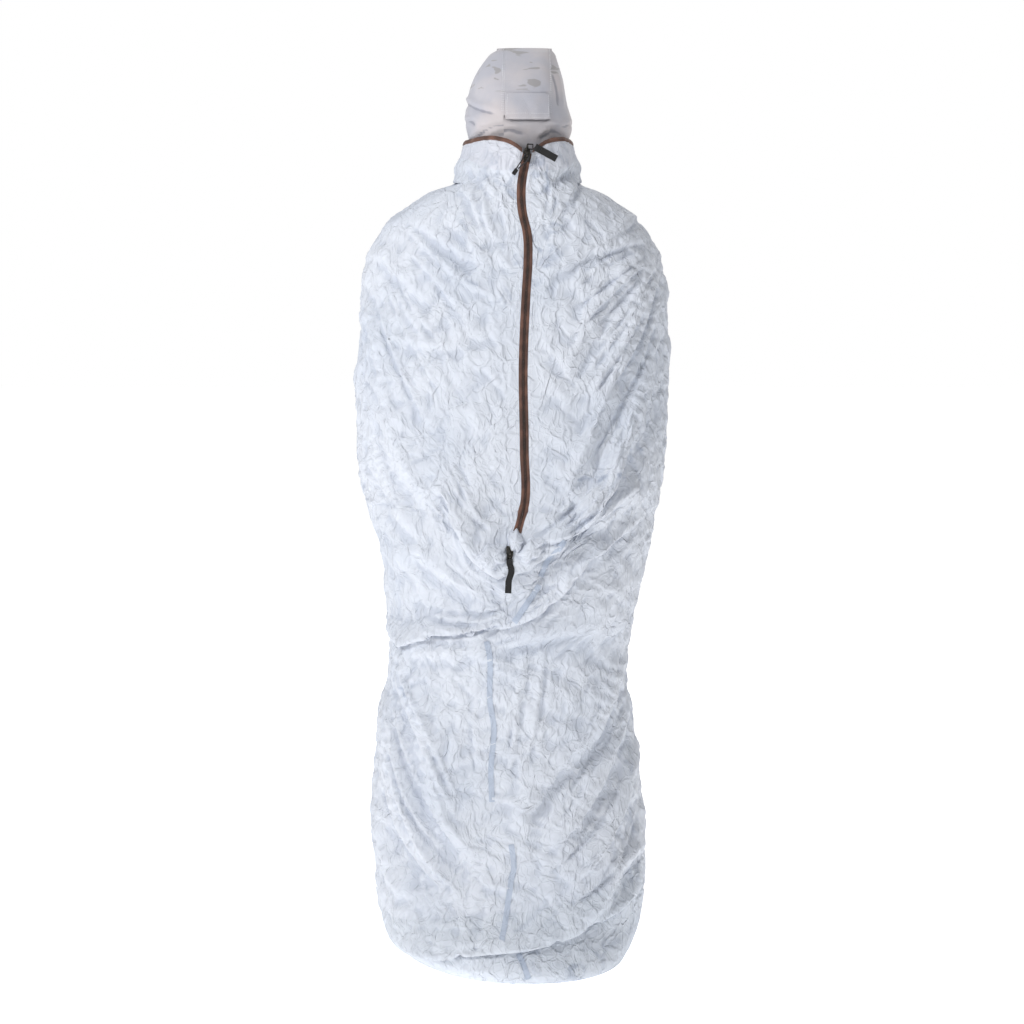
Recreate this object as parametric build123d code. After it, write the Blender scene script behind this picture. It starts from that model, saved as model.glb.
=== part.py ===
"""Hooded, floor-length snow camouflage over-suit, zipped shut, in millimetres.

+Z is up and the front faces -Y.  The suit stands on its closed foot.  Left and right in the names
are as seen from in front, so that left is -X.
Cloth panels are thin shells cut from one standing form, so that they meet edge to edge.
"""
from build123d import *

import math
import os

# Driving sizes
WALL = 5.0                # cloth with its seam allowance and crumple depth
COLLAR_TOP_Z = 1622.0
COLLAR_SEAM_Z = 1550.0
WAIST_SEAM_Z = 813.0
SKIRT_SEAM_Z = 680.0
FOOT_SEAM_Z = 60.0
SEAM_GAP = 0.003          # radians left open each side of a side seam
LEFT_SIDE, RIGHT_SIDE = SEAM_GAP - math.pi, -SEAM_GAP
BACK_RIGHT_SIDE, BACK_LEFT_SIDE = SEAM_GAP, math.pi - SEAM_GAP
FRONT, BACK = -1, 1       # which half of a section an end lies on
BODY_ROUNDNESS = 2.25     # exponent of the body's plan sections, 2 being an ellipse
HOOD_ROUNDNESS = 2.5
FAR = 900.0

# Plan sections of the suit, lowest first: height, leftmost x, rightmost x, front y, back y
BODY_SECTIONS = [
    (0, -222, 236, -244, 246),
    (22, -244, 256, -262, 262),
    (70, -270, 268, -240, 244),
    (183, -290, 276, -214, 218),
    (313, -292, 271, -200, 204),
    (466, -278, 253, -190, 192),
    (618, -251, 238, -196, 184),
    (743, -256, 258, -220, 180),
    (842, -267, 277, -247, 178),
    (940, -296, 296, -236, 178),
    (1134, -316, 312, -212, 174),
    (1300, -305, 314, -190, 166),
    (1418, -278, 286, -175, 156),
    (1488, -224, 234, -166, 148),
    (1534, -171, 184, -161, 142),
    (1562, -134, 144, -158, 136),
    (1590, -112, 134, -155, 130),
    (1630, -94, 117, -136, 122),
]

# Plan sections of the hood, from the skirt tucked in the collar to the crown
HOOD_SECTIONS = [
    (1585, -74, 98, -102, 86),
    (1620, -82, 106, -108, 92),
    (1655, -90, 117, -112, 102),
    (1700, -84, 106, -110, 108),
    (1745, -68, 96, -98, 96),
    (1780, -50, 86, -68, 68),
    (1800, -36, 82, -36, 38),
]
BRIM_HINGE_Z = 1712.0
BRIM_EDGE_Z = 1668.0
CROWN_LEFT_X = -16.0
CROWN_RIGHT_X = 73.0
HOOD_SKIRT_Z = 1612.0

# Zip: a straight two-way chain from the lower slider to the upper one
ZIP_TOP = (28.0, -156.0, 1592.0)
ZIP_BOTTOM = (-4.0, -248.0, 856.0)
SLOT_HALF = 11.0
TAPE_HALF = 10.8
TAPE_THICK = 1.0
COIL_GAP = 1.7
COIL_HALF = 4.8
COIL_THICK = 2.4
SLIDER_WIDTH = 13.0
SLIDER_LENGTH = 24.0
PLATE = 1.4
CLEAR = 0.5
LUG_HOLE = 3.2
LUG_RISE = 2.4            # height of the lug hole's centre above the front plate
NOSE_LUG_Y = 14.5         # second lug, beyond the slider's nose
NOSE_LUG_Z = 5.4
BAIL_WIRE = 1.8
CORD = 2.2                # pull cord diameter
WEBBING = 2.4             # folded webbing thickness

LOWER_PULL_DROP = 64.0
UPPER_TAB = (13.0, 46.0)  # width and length of the webbing tab beside the collar


# ---- helpers -------------------------------------------------------------------------------

def section_at(sections, height):
    """The plan section at any height, straight between the two listed ones beside it."""
    for low, high in zip(sections, sections[1:]):
        if low[0] <= height <= high[0]:
            part = (height - low[0]) / (high[0] - low[0])
            return tuple(a + (b - a) * part for a, b in zip(low, high))
    return sections[-1]


def plan_point(section, roundness, inset, angle):
    """Point of a rounded superellipse section; angle 0 is the right side, +90 degrees the back."""
    height, left, right, front, back = section
    across, along = math.cos(angle), math.sin(angle)
    reach = abs(across) ** (2 / roundness) * ((right - left) / 2 - inset)
    depth = abs(along) ** (2 / roundness) * ((back - front) / 2 - inset)
    return Vector((left + right) / 2 + math.copysign(reach, across),
                  (front + back) / 2 + math.copysign(depth, along), height)


def angle_at(section, roundness, inset, x):
    """Angle, from 0 to 180 degrees, at which a section passes a given x."""
    left, right = section[1], section[2]
    ratio = (x - (left + right) / 2) / ((right - left) / 2 - inset)
    return math.acos(math.copysign(abs(ratio) ** (roundness / 2), ratio))


def strip_wire(section, roundness, ends, wall, outset):
    """Closed plan outline of one cloth strip between two ends, (side, x) or a plain angle."""
    lines = []
    for inset in (-outset, wall - outset):
        low, high = [end if isinstance(end, float) else
                     end[0] * angle_at(section, roundness, inset, end[1]) for end in ends]
        if high < low:
            high += math.tau
        count = max(3, round((high - low) / math.radians(22)) + 1)
        lines.append([plan_point(section, roundness, inset, low + (high - low) * step / (count - 1))
                      for step in range(count)])
    outer, inner = lines
    return Wire([Edge.make_spline(outer), Edge.make_line(outer[-1], inner[-1]),
                 Edge.make_spline(inner), Edge.make_line(inner[0], outer[0])])


def strip(sections, roundness, bottom, top, ends, wall=None, outset=0.0):
    """A curved panel between two heights; ends is a pair, or a function of height giving one."""
    wall = wall or WALL
    heights = [bottom] + [s[0] for s in sections if bottom + 4 < s[0] < top - 4] + [top]
    wires = []
    for height in heights:
        pair = ends(height) if callable(ends) else ends
        wires.append(strip_wire(section_at(sections, height), roundness, pair, wall, outset))
    return Solid.make_loft(wires)


def body_strip(bottom, top, ends, wall=None, outset=0.0):
    return strip(BODY_SECTIONS, BODY_ROUNDNESS, bottom, top, ends, wall, outset)


def hood_strip(bottom, top, ends, wall=None, outset=0.0):
    return strip(HOOD_SECTIONS, HOOD_ROUNDNESS, bottom, top, ends, wall, outset)


def block(x0, x1, y0, y1, z0, z1):
    """An upright box given by its limits."""
    centre = Location(((x0 + x1) / 2, (y0 + y1) / 2, (z0 + z1) / 2))
    return centre * Box(x1 - x0, y1 - y0, z1 - z0)


def save(name, shape):
    """Write one node."""
    export_step(shape, f"parts/{name}.step")


# ---- the standing form and its cuts --------------------------------------------------------

def zip_frame():
    """Plane on the zip: origin at the upper slider, y up the chain, z out of the cloth."""
    top, bottom = Vector(*ZIP_TOP), Vector(*ZIP_BOTTOM)
    up = (top - bottom).normalized()
    across = (Vector(1, 0, 0) - up * up.X).normalized()
    return Plane(origin=ZIP_TOP, x_dir=across, z_dir=across.cross(up))


def zip_x(height):
    """Where the straight zip line is at a height."""
    part = (height - ZIP_BOTTOM[2]) / (ZIP_TOP[2] - ZIP_BOTTOM[2])
    return ZIP_BOTTOM[0] + (ZIP_TOP[0] - ZIP_BOTTOM[0]) * part


def left_of_zip(height):
    return (LEFT_SIDE, (FRONT, zip_x(height) - SLOT_HALF))


def right_of_zip(height):
    return ((FRONT, zip_x(height) + SLOT_HALF), RIGHT_SIDE)


def collar_notch():
    """The space above the collar's edge, which dips to the top of the zip in front."""
    edge = [(-FAR, 1622), (-20, 1622), (8, 1612), (25, 1603), (31, 1603), (48, 1614), (70, 1622),
            (FAR, 1622), (FAR, 1700), (-FAR, 1700)]
    outline = make_face(Polyline(*[(x, 0, z) for x, z in edge], close=True))
    return extrude(outline, amount=FAR, both=True)


def collar():
    """Collar round the hood's skirt, in two front halves and a back."""
    top = COLLAR_TOP_Z + 3
    notch = collar_notch()
    save("collar_left", body_strip(COLLAR_SEAM_Z, top, left_of_zip) - notch)
    save("collar_right", body_strip(COLLAR_SEAM_Z, top, right_of_zip) - notch)
    save("collar_back", body_strip(COLLAR_SEAM_Z, COLLAR_TOP_Z, (BACK_RIGHT_SIDE, BACK_LEFT_SIDE)))

    # zip tape left showing along the open edge
    gap, thick, wide = 0.6, 1.2, 9.0
    band = notch.moved(Location((0, 0, -wide))) - notch
    for name, ends in (("left", left_of_zip), ("right", right_of_zip)):
        tape = body_strip(COLLAR_SEAM_Z, top, ends, thick, gap + thick)
        save(f"collar_tape_{name}", tape & band)


def upper_body():
    """Blouse from the collar seam to the pouch at the waist."""
    gather_z = ZIP_BOTTOM[2] - 26
    save("upper_front_left", body_strip(gather_z, COLLAR_SEAM_Z, left_of_zip))
    save("upper_front_right", body_strip(gather_z, COLLAR_SEAM_Z, right_of_zip))
    save("waist_gather", body_strip(WAIST_SEAM_Z, gather_z, (LEFT_SIDE, RIGHT_SIDE)))
    save("upper_back", body_strip(WAIST_SEAM_Z, COLLAR_SEAM_Z, (BACK_RIGHT_SIDE, BACK_LEFT_SIDE)))


def lower_body():
    """Waist, skirt and the closed foot."""
    whole_front = (LEFT_SIDE, RIGHT_SIDE)
    whole_back = (BACK_RIGHT_SIDE, BACK_LEFT_SIDE)
    middle = (FRONT, 0.0)
    save("waist_front", body_strip(SKIRT_SEAM_Z, WAIST_SEAM_Z, whole_front))
    save("waist_back", body_strip(SKIRT_SEAM_Z, WAIST_SEAM_Z, whole_back))
    save("skirt_front_left", body_strip(FOOT_SEAM_Z, SKIRT_SEAM_Z, (LEFT_SIDE, middle)))
    save("skirt_front_right", body_strip(FOOT_SEAM_Z, SKIRT_SEAM_Z, (middle, RIGHT_SIDE)))
    save("skirt_back", body_strip(FOOT_SEAM_Z, SKIRT_SEAM_Z, whole_back))
    save("foot_front", body_strip(WALL, FOOT_SEAM_Z, whole_front))
    save("foot_back", body_strip(WALL, FOOT_SEAM_Z, whole_back))
    rim = [plan_point(BODY_SECTIONS[0], BODY_ROUNDNESS, 0, math.tau * step / 16) for step in range(16)]
    save("foot_base", extrude(Face(Wire([Edge.make_spline(rim, periodic=True)])), amount=WALL))


def seam_tapes():
    """Taped centre seam, which shows in three runs between the folds."""
    gap, thick, half = 1.4, 1.2, 6.5

    def run(name, bottom, top, x_bottom, x_top):
        def ends(height):
            x = x_bottom + (x_top - x_bottom) * (height - bottom) / (top - bottom)
            return ((FRONT, x - half), (FRONT, x + half))
        save(name, body_strip(bottom, top, ends, thick, gap + thick))

    run("seam_tape_waist", SKIRT_SEAM_Z + 15, WAIST_SEAM_Z - 4, 2, 66)
    run("seam_tape_skirt", 330, SKIRT_SEAM_Z - 6, -36, -46)
    run("seam_tape_hem", FOOT_SEAM_Z + 6, 252, -18, 4)


# ---- hood ----------------------------------------------------------------------------------

def hood_parts():
    """Hood: crown panel, two sides, veil, tucked skirt and the lifting brim."""
    base, top = HOOD_SECTIONS[0][0], HOOD_SECTIONS[-1][0]
    crown_front = ((FRONT, CROWN_LEFT_X), (FRONT, CROWN_RIGHT_X))
    crown_back = ((BACK, CROWN_RIGHT_X), (BACK, CROWN_LEFT_X))
    save("hood_skirt", hood_strip(base, HOOD_SKIRT_Z, (LEFT_SIDE, RIGHT_SIDE))
         + hood_strip(base, HOOD_SKIRT_Z, (BACK_RIGHT_SIDE, BACK_LEFT_SIDE)))
    save("face_veil", hood_strip(HOOD_SKIRT_Z, BRIM_EDGE_Z, crown_front))

    lid_face = make_face(Edge.make_spline(
        [plan_point(HOOD_SECTIONS[-1], HOOD_ROUNDNESS, WALL / 2, math.tau * step / 16) for step in range(16)],
        periodic=True))
    lid = extrude(lid_face, amount=-WALL)
    crown = hood_strip(BRIM_EDGE_Z, top, crown_front) + hood_strip(HOOD_SKIRT_Z, top, crown_back)
    save("hood_crown", crown + (lid & block(CROWN_LEFT_X, CROWN_RIGHT_X, -FAR, FAR, 0, 3 * FAR)))
    left = hood_strip(HOOD_SKIRT_Z, top, ((BACK, CROWN_LEFT_X), (FRONT, CROWN_LEFT_X)))
    save("hood_side_left", left + (lid & block(-FAR, CROWN_LEFT_X, -FAR, FAR, 0, 3 * FAR)))
    right = hood_strip(HOOD_SKIRT_Z, top, ((FRONT, CROWN_RIGHT_X), (BACK, CROWN_RIGHT_X)))
    save("hood_side_right", right + (lid & block(CROWN_RIGHT_X, FAR, -FAR, FAR, 0, 3 * FAR)))

    gap, thick = 2.0, 4.0
    save("hood_brim", hood_strip(BRIM_EDGE_Z - 4, BRIM_HINGE_Z, crown_front, thick, gap + thick))


# ---- zip -----------------------------------------------------------------------------------

def zip_chain(plane):
    """Tapes and coils of the two-way zip, with its stops."""
    length = (Vector(*ZIP_TOP) - Vector(*ZIP_BOTTOM)).length
    top, bottom = 11.0, -length - 24.0
    middle, run = (top + bottom) / 2, top - bottom
    for name, side in (("left", -1), ("right", 1)):
        tape_x = side * (COIL_GAP + TAPE_HALF) / 2
        tape = Location((tape_x, middle, 0)) * Box(TAPE_HALF - COIL_GAP, run, TAPE_THICK)
        coil_x = side * (COIL_GAP + COIL_HALF) / 2
        coil_z = -(TAPE_THICK + COIL_THICK) / 2
        coil = Location((coil_x, middle - 2, coil_z)) * Box(COIL_HALF - COIL_GAP, run - 8, COIL_THICK)
        save(f"zip_tape_{name}", plane.location * tape)
        save(f"zip_coil_{name}", plane.location * coil)
    stop = Location((0, bottom + 3, TAPE_THICK)) * Box(9, 5, TAPE_THICK)
    save("zip_bottom_stop", plane.location * stop)


def slider_body(direction):
    """Slider: two plates joined by a post, back flanges and a pull lug; narrow end is +y."""
    front_z = TAPE_THICK / 2 + CLEAR
    back_z = -TAPE_THICK / 2 - COIL_THICK - CLEAR
    outline = Polygon((-SLIDER_WIDTH / 2, -12), (SLIDER_WIDTH / 2, -12), (SLIDER_WIDTH / 2, 4),
                      (4.2, 12), (-4.2, 12), (-SLIDER_WIDTH / 2, 4), align=None)
    plate = extrude(outline, amount=PLATE)
    shape = Location((0, 0, front_z)) * plate
    shape += Location((0, 0, back_z - PLATE)) * plate
    shape += Location((0, 7, (front_z + back_z) / 2)) * Box(2.2, 6, front_z - back_z)
    for side in (-1, 1):
        flange = Location((side * (SLIDER_WIDTH / 2 - 0.6), -4, back_z + 1.1)) * Box(1.2, 16, 2.2)
        shape += flange
    shape += slider_lug(0, front_z + PLATE)
    turn = 0 if direction > 0 else 180
    return Location((0, 0, 0), (0, 0, turn)) * shape


def slider_lug(y, base_z):
    """Arched lug whose hole runs across the slider."""
    lug = Location((0, y, base_z + 2.4)) * Box(3.6, 8, 4.8)
    lug = fillet(lug.edges().filter_by(Axis.X).group_by(Axis.Z)[-1], 2.2)
    hole = Location((0, y, base_z + LUG_RISE), (0, 90, 0)) * Cylinder(LUG_HOLE / 2, 12)
    return lug - hole


def bail(width, drop):
    """Wire frame through a lug hole at the origin, hanging towards -y."""
    outer = Location((0, -drop / 2 + BAIL_WIRE / 2, 0)) * Box(width, drop, BAIL_WIRE)
    inner = Location((0, -drop / 2 + BAIL_WIRE / 2, 0)) * Box(width - 2 * BAIL_WIRE, drop - 2 * BAIL_WIRE, 9)
    return outer - inner


def upper_slider(plane):
    """Upper slider with its cord pull, and the webbing tab that comes out over its nose."""
    body = slider_body(1)
    pivot = Location((0, NOSE_LUG_Y, NOSE_LUG_Z))
    side_lug = Location((0, NOSE_LUG_Y, 4.3)) * Box(4.0, 6.0, 6.6)
    side_lug -= pivot * Location((0, 0, 0), (90, 0, 0)) * Cylinder(LUG_HOLE / 2, 12)
    save("upper_slider", plane.location * (body + side_lug))

    # cord loop through the lug, closed by a moulded end
    rise = TAPE_THICK / 2 + CLEAR + PLATE + LUG_RISE
    route = [(-18.9, -27.0), (-13.6, -18.0), (-8.0, -9.0), (-5.5, -1.6), (-2.6, 0.35), (2.4, 0.0),
             (4.9, -3.6), (1.2, -11.0), (-7.0, -19.0), (-15.7, -27.0)]
    save("upper_pull_cord", plane.location * Location((0, 0, rise)) * cord_tube(route))
    end = Location((-21.0, -32.9, rise), (0, 0, -32)) * Box(7.5, 12.0, 4.4)
    end = fillet(end.edges(), 1.2)
    save("upper_pull_end", plane.location * end)

    # webbing tab, hinged on a bail through the nose lug
    frame = pivot * Location((0, 0, 0), (0, 0, 90)) * bail(11.0, 12.0)
    save("side_pull_bail", plane.location * frame)
    save("side_pull_tab", side_tab(plane))


def side_tab(plane):
    """Folded webbing tab beside the collar, sloping down and clear of the cloth as it travels."""
    width, length = UPPER_TAB
    slope, lift = 27.0, 4.0
    start = Location((14.2, NOSE_LUG_Y, NOSE_LUG_Z), (0, -lift, -slope))
    return plane.location * start * Location((length / 2, 0, 0)) * Box(length, width, WEBBING)


def cord_tube(route):
    """A round cord along a flat hand-set route, straight runs joined by the widest arcs."""
    radii = []
    for before, here, after in zip(route, route[1:], route[2:]):
        into = Vector(here[0] - before[0], here[1] - before[1])
        out_of = Vector(after[0] - here[0], after[1] - here[1])
        turn = math.radians(into.get_angle(out_of))
        radii.append(0.45 * min(into.length, out_of.length) / math.tan(turn / 2))
    print("cord radii", [round(radius, 1) for radius in radii])
    path = FilletPolyline(*route, radius=radii)
    ring = Plane(origin=path @ 0, z_dir=path % 0) * Circle(CORD / 2)
    tube = sweep(ring, path=path)
    print("cord length", round(path.length, 1), "volume ratio",
          round(tube.volume / (math.pi * CORD ** 2 / 4 * path.length), 3))
    return tube


def lower_slider(plane):
    """Lower slider at the foot of the chain, with its bail and hanging webbing tab."""
    length = (Vector(*ZIP_TOP) - Vector(*ZIP_BOTTOM)).length
    at = plane.location * Location((0, -length, 0))
    save("lower_slider", at * slider_body(-1))
    rise = TAPE_THICK / 2 + CLEAR + PLATE + LUG_RISE
    hung = at * Location((0, 0, rise))
    save("lower_pull_bail", hung * bail(9.4, 13.0))
    tab = Location((0, -12.4 - LOWER_PULL_DROP / 2, 0)) * Box(12.0, LOWER_PULL_DROP, WEBBING)
    save("lower_pull_tab", hung * tab)


def main():
    os.makedirs("parts", exist_ok=True)
    plane = zip_frame()
    collar()
    upper_body()
    lower_body()
    seam_tapes()
    hood_parts()
    zip_chain(plane)
    upper_slider(plane)
    lower_slider(plane)


main()
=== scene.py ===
"""Looks of the hooded snow camouflage over-suit: draped cloth, zip, pulls and hood."""
import math

import bmesh
import bpy
import numpy as np
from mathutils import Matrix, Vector
from mathutils.bvhtree import BVHTree


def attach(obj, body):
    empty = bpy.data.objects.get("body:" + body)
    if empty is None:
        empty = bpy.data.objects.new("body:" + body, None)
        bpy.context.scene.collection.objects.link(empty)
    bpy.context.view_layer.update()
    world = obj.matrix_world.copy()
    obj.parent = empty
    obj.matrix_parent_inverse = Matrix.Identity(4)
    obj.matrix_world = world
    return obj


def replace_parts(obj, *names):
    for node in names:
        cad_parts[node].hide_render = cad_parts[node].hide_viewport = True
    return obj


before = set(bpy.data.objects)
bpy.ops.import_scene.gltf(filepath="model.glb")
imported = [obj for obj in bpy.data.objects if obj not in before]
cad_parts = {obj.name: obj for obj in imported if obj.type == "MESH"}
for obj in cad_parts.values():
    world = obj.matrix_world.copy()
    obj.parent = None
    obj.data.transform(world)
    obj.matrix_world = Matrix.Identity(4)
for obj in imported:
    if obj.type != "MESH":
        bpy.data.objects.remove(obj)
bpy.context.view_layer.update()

# ---- sizes, in metres ------------------------------------------------------------------------

COLUMNS = 192             # mesh columns round the suit, about 9 mm each
STEP = 0.009              # spacing of the mesh rows
CLOTH_THICK = 0.0008      # suit nylon, drawn thicker than the real one so that its edges show
HOOD_THICK = 0.0010
BRIM_THICK = 0.0014
TAPE_THICK = 0.0009       # zip tape and its sewn edge
FOLD_DEPTH = 1.15         # how much deeper than listed the drawn folds are
HOOD_FOLD_DEPTH = 1.7     # the same on the hood
ROUGHNESS = 0.0035        # unevenness that lets the cloth buckle everywhere
ZIP_HALF = 0.0085         # half the width of brown tape that shows
ROUNDNESS = 2.25          # of the suit's plan sections: 2 is an ellipse, more is boxier
HOOD_ROUNDNESS = 2.5
ZIP_END_Z = 0.865         # where the zip goes under the gather
ZIP_START_Z = 1.596       # where the upper slider closes it
WORLD_LIGHT = 0.22        # strength of the white surroundings as a light
HOLD = 0.28               # how firmly the settling cloth is held to its standing form, 0 to 1
LAYER_HOLD = 0.4          # the same along the lower edges of the layers
GROWTH = 0.028            # how much too long the settling cloth is
FRAMES = 18               # length of its settling

# Plan sections of the suit: height, leftmost x, rightmost x, front y, back y
BODY = np.array([
    (0.000, -0.230, 0.244, -0.250, 0.250),
    (0.022, -0.246, 0.256, -0.262, 0.260),
    (0.070, -0.270, 0.268, -0.240, 0.244),
    (0.183, -0.290, 0.276, -0.212, 0.216),
    (0.313, -0.292, 0.271, -0.198, 0.202),
    (0.466, -0.276, 0.251, -0.188, 0.190),
    (0.618, -0.249, 0.236, -0.194, 0.182),
    (0.743, -0.254, 0.256, -0.212, 0.178),
    (0.842, -0.265, 0.275, -0.226, 0.176),
    (0.940, -0.294, 0.294, -0.226, 0.176),
    (1.134, -0.314, 0.308, -0.208, 0.172),
    (1.300, -0.300, 0.311, -0.187, 0.164),
    (1.418, -0.276, 0.284, -0.172, 0.154),
    (1.488, -0.222, 0.232, -0.163, 0.146),
    (1.524, -0.164, 0.178, -0.156, 0.140),
    (1.550, -0.104, 0.124, -0.154, 0.136),
    (1.575, -0.107, 0.129, -0.152, 0.132),
    (1.600, -0.099, 0.122, -0.149, 0.128),
    (1.630, -0.092, 0.116, -0.136, 0.122),
])

# Centre line of the front: the zip above the gather, the taped seam below, as (height, x)
CENTRE_LINE = [(0.00, 0.030), (0.075, -0.024), (0.13, -0.012), (0.22, 0.004), (0.36, -0.038),
               (0.56, -0.043), (0.64, -0.042), (0.70, 0.000), (0.77, 0.010), (0.83, -0.006),
               (0.865, 0.002), (0.90, 0.012), (0.93, 0.021), (1.05, 0.023), (1.20, 0.021),
               (1.33, 0.026), (1.40, 0.030), (1.445, 0.029), (1.49, 0.019), (1.54, 0.018),
               (1.575, 0.024), (1.592, 0.028), (1.63, 0.028)]


# ---- small helpers -----------------------------------------------------------------------------

def smooth_table(table, at):
    """Smooth curve through a table's rows (first column the place), for every place asked."""
    places, values = table[:, 0], table[:, 1:]
    slopes = np.gradient(values, places, axis=0)
    index = np.clip(np.searchsorted(places, at) - 1, 0, len(places) - 2)
    span = (places[index + 1] - places[index])[..., None]
    t = np.clip((at - places[index])[..., None] / span, 0, 1)
    a, b = values[index], values[index + 1]
    ma, mb = slopes[index] * span, slopes[index + 1] * span
    return ((2 * t ** 3 - 3 * t ** 2 + 1) * a + (t ** 3 - 2 * t ** 2 + t) * ma
            + (3 * t ** 2 - 2 * t ** 3) * b + (t ** 3 - t ** 2) * mb)


def smooth_line(points, at):
    """Smooth single-valued curve through given (place, value) points."""
    table = np.array(points, dtype=float)
    return smooth_table(table, np.clip(at, table[0, 0], table[-1, 0]))[..., 0]


def ease(t):
    """0 to 1, smoothly."""
    t = np.clip(t, 0, 1)
    return t * t * (3 - 2 * t)


def section_point(sides, across, along, roundness):
    """Point of a plan section between an ellipse and a box; sides are its left, right, front and back."""
    left, right, front, back = sides
    x = (left + right) / 2 + (right - left) / 2 * np.sign(across) * np.abs(across) ** (2 / roundness)
    y = (front + back) / 2 + (back - front) / 2 * np.sign(along) * np.abs(along) ** (2 / roundness)
    return x, y


def grid_faces(rows, columns, vertex):
    """Faces between the points of a grid; vertex gives the number of the point at a row and a column."""
    return [(vertex(r, c), vertex(r + 1, c), vertex(r + 1, c + 1), vertex(r, c + 1))
            for r in range(rows - 1) for c in range(columns - 1)]


def new_piece(name, points, faces):
    """New mesh object at the origin."""
    mesh = bpy.data.meshes.new(name)
    mesh.from_pydata(np.asarray(points, dtype=float).reshape(-1, 3).tolist(), [], faces)
    item = bpy.data.objects.new(name, mesh)
    bpy.context.collection.objects.link(item)
    return item


def distances(path):
    """Distance of every point of a path from its start, along it."""
    return np.concatenate([[0], np.cumsum(np.linalg.norm(np.diff(path, axis=0), axis=1))])


def along_path(distance, places, path):
    """Point, or direction, at a distance along a path."""
    return np.array([np.interp(distance, places, path[:, k]) for k in range(3)])


# ---- standing form of the suit -------------------------------------------------------------------

def standing_point(angle, height):
    """Point of the standing form, and its outward direction; angle 0 is +X, -90 degrees the front."""
    sides = np.moveaxis(smooth_table(BODY, height), -1, 0)
    left, right, front, back = sides
    across, along = np.cos(angle), np.sin(angle)
    x, y = section_point(sides, across, along, ROUNDNESS)
    # slide the front columns sideways so that the first one follows the centre line
    near_front = ease((-along - 0.2) / 0.8) * (along < 0)
    x = x + near_front * (smooth_line(CENTRE_LINE, height) - (left + right) / 2)
    out_x, out_y = across / ((right - left) / 2), along / ((back - front) / 2)
    size = np.hypot(out_x, out_y)
    return x, y, out_x / size, out_y / size


# Lower edges of the layers, as front points (x, height) and fold depth from 0 to 1 at each
POUCH_EDGE = [(-0.32, 0.955, 0.0), (-0.20, 0.955, 0.15), (-0.15, 0.940, 0.45), (-0.108, 0.894, 0.8),
              (-0.070, 0.854, 1.0), (-0.023, 0.815, 1.0), (0.034, 0.832, 1.0), (0.091, 0.867, 1.0),
              (0.128, 0.930, 0.9), (0.167, 0.990, 0.7), (0.206, 1.040, 0.4), (0.260, 1.050, 0.1),
              (0.32, 1.050, 0.0)]
SWAG_EDGE = [(-0.32, 0.650, 0.3), (-0.243, 0.655, 0.7), (-0.164, 0.684, 0.7), (-0.081, 0.690, 0.45),
             (-0.013, 0.704, 0.6), (0.034, 0.735, 0.9), (0.082, 0.773, 1.0), (0.130, 0.810, 1.0),
             (0.179, 0.850, 1.0), (0.232, 0.882, 0.7), (0.28, 0.895, 0.3), (0.32, 0.90, 0.0)]
HEM_EDGE = [(-0.30, 0.036, 0.3), (-0.245, 0.036, 0.7), (-0.166, 0.050, 0.9), (-0.083, 0.066, 0.9),
            (-0.023, 0.073, 0.9), (0.050, 0.080, 0.9), (0.124, 0.092, 0.9), (0.200, 0.108, 0.8),
            (0.250, 0.122, 0.6), (0.30, 0.130, 0.2)]
COLLAR_FOLD = [(-0.20, 1.556, 1.0), (-0.17, 1.552, 0.8), (-0.13, 1.540, 0.25), (-0.08, 1.530, 0.0),
               (0.10, 1.530, 0.0), (0.14, 1.538, 0.25), (0.175, 1.552, 0.8), (0.20, 1.556, 1.0)]
COLLAR_EDGE = [(-0.13, 1.621), (-0.095, 1.627), (-0.070, 1.627), (-0.038, 1.620), (-0.018, 1.611),
               (0.000, 1.601), (0.014, 1.606), (0.030, 1.615), (0.052, 1.622), (0.085, 1.625),
               (0.13, 1.621)]


def along_edge(points, column, angle):
    """Value of an edge table at each angle; round the back its two ends are joined smoothly."""
    table = np.array(points)
    reach = table[-1, 0]
    across = np.cos(angle) * reach
    low, high = table[0, column], table[-1, column]
    front = np.interp(across, table[:, 0], table[:, column])
    back = low + (high - low) * (1 + np.cos(angle)) / 2
    return np.where(np.sin(angle) < 0, front, back)


def fold_rows(up, down, depth, tuck):
    """Path of a cloth layer that turns under its lower edge: (distance down, distance out)."""
    return np.array([(-up, 0), (-0.62 * up, 0.30 * depth), (-0.28 * up, 0.72 * depth),
                     (-0.08 * up, 0.97 * depth), (0.004, 0.98 * depth), (0.010, 0.74 * depth),
                     (0.009, 0.45 * depth), (0.0, 0.22 * depth), (-0.5 * tuck, 0.05 * depth),
                     (-tuck, -0.10 * depth), (-0.5 * tuck, -0.20 * depth), (0.006, -0.16 * depth),
                     (0.5 * down, -0.04 * depth), (down, 0)])


def resample(path, count):
    """Evenly spaced points along a path."""
    lengths = np.concatenate([[0], np.cumsum(np.hypot(*np.diff(path, axis=0).T))])
    at = np.linspace(0, lengths[-1], count)
    return np.stack([np.interp(at, lengths, path[:, k]) for k in (0, 1)], axis=1)


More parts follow.
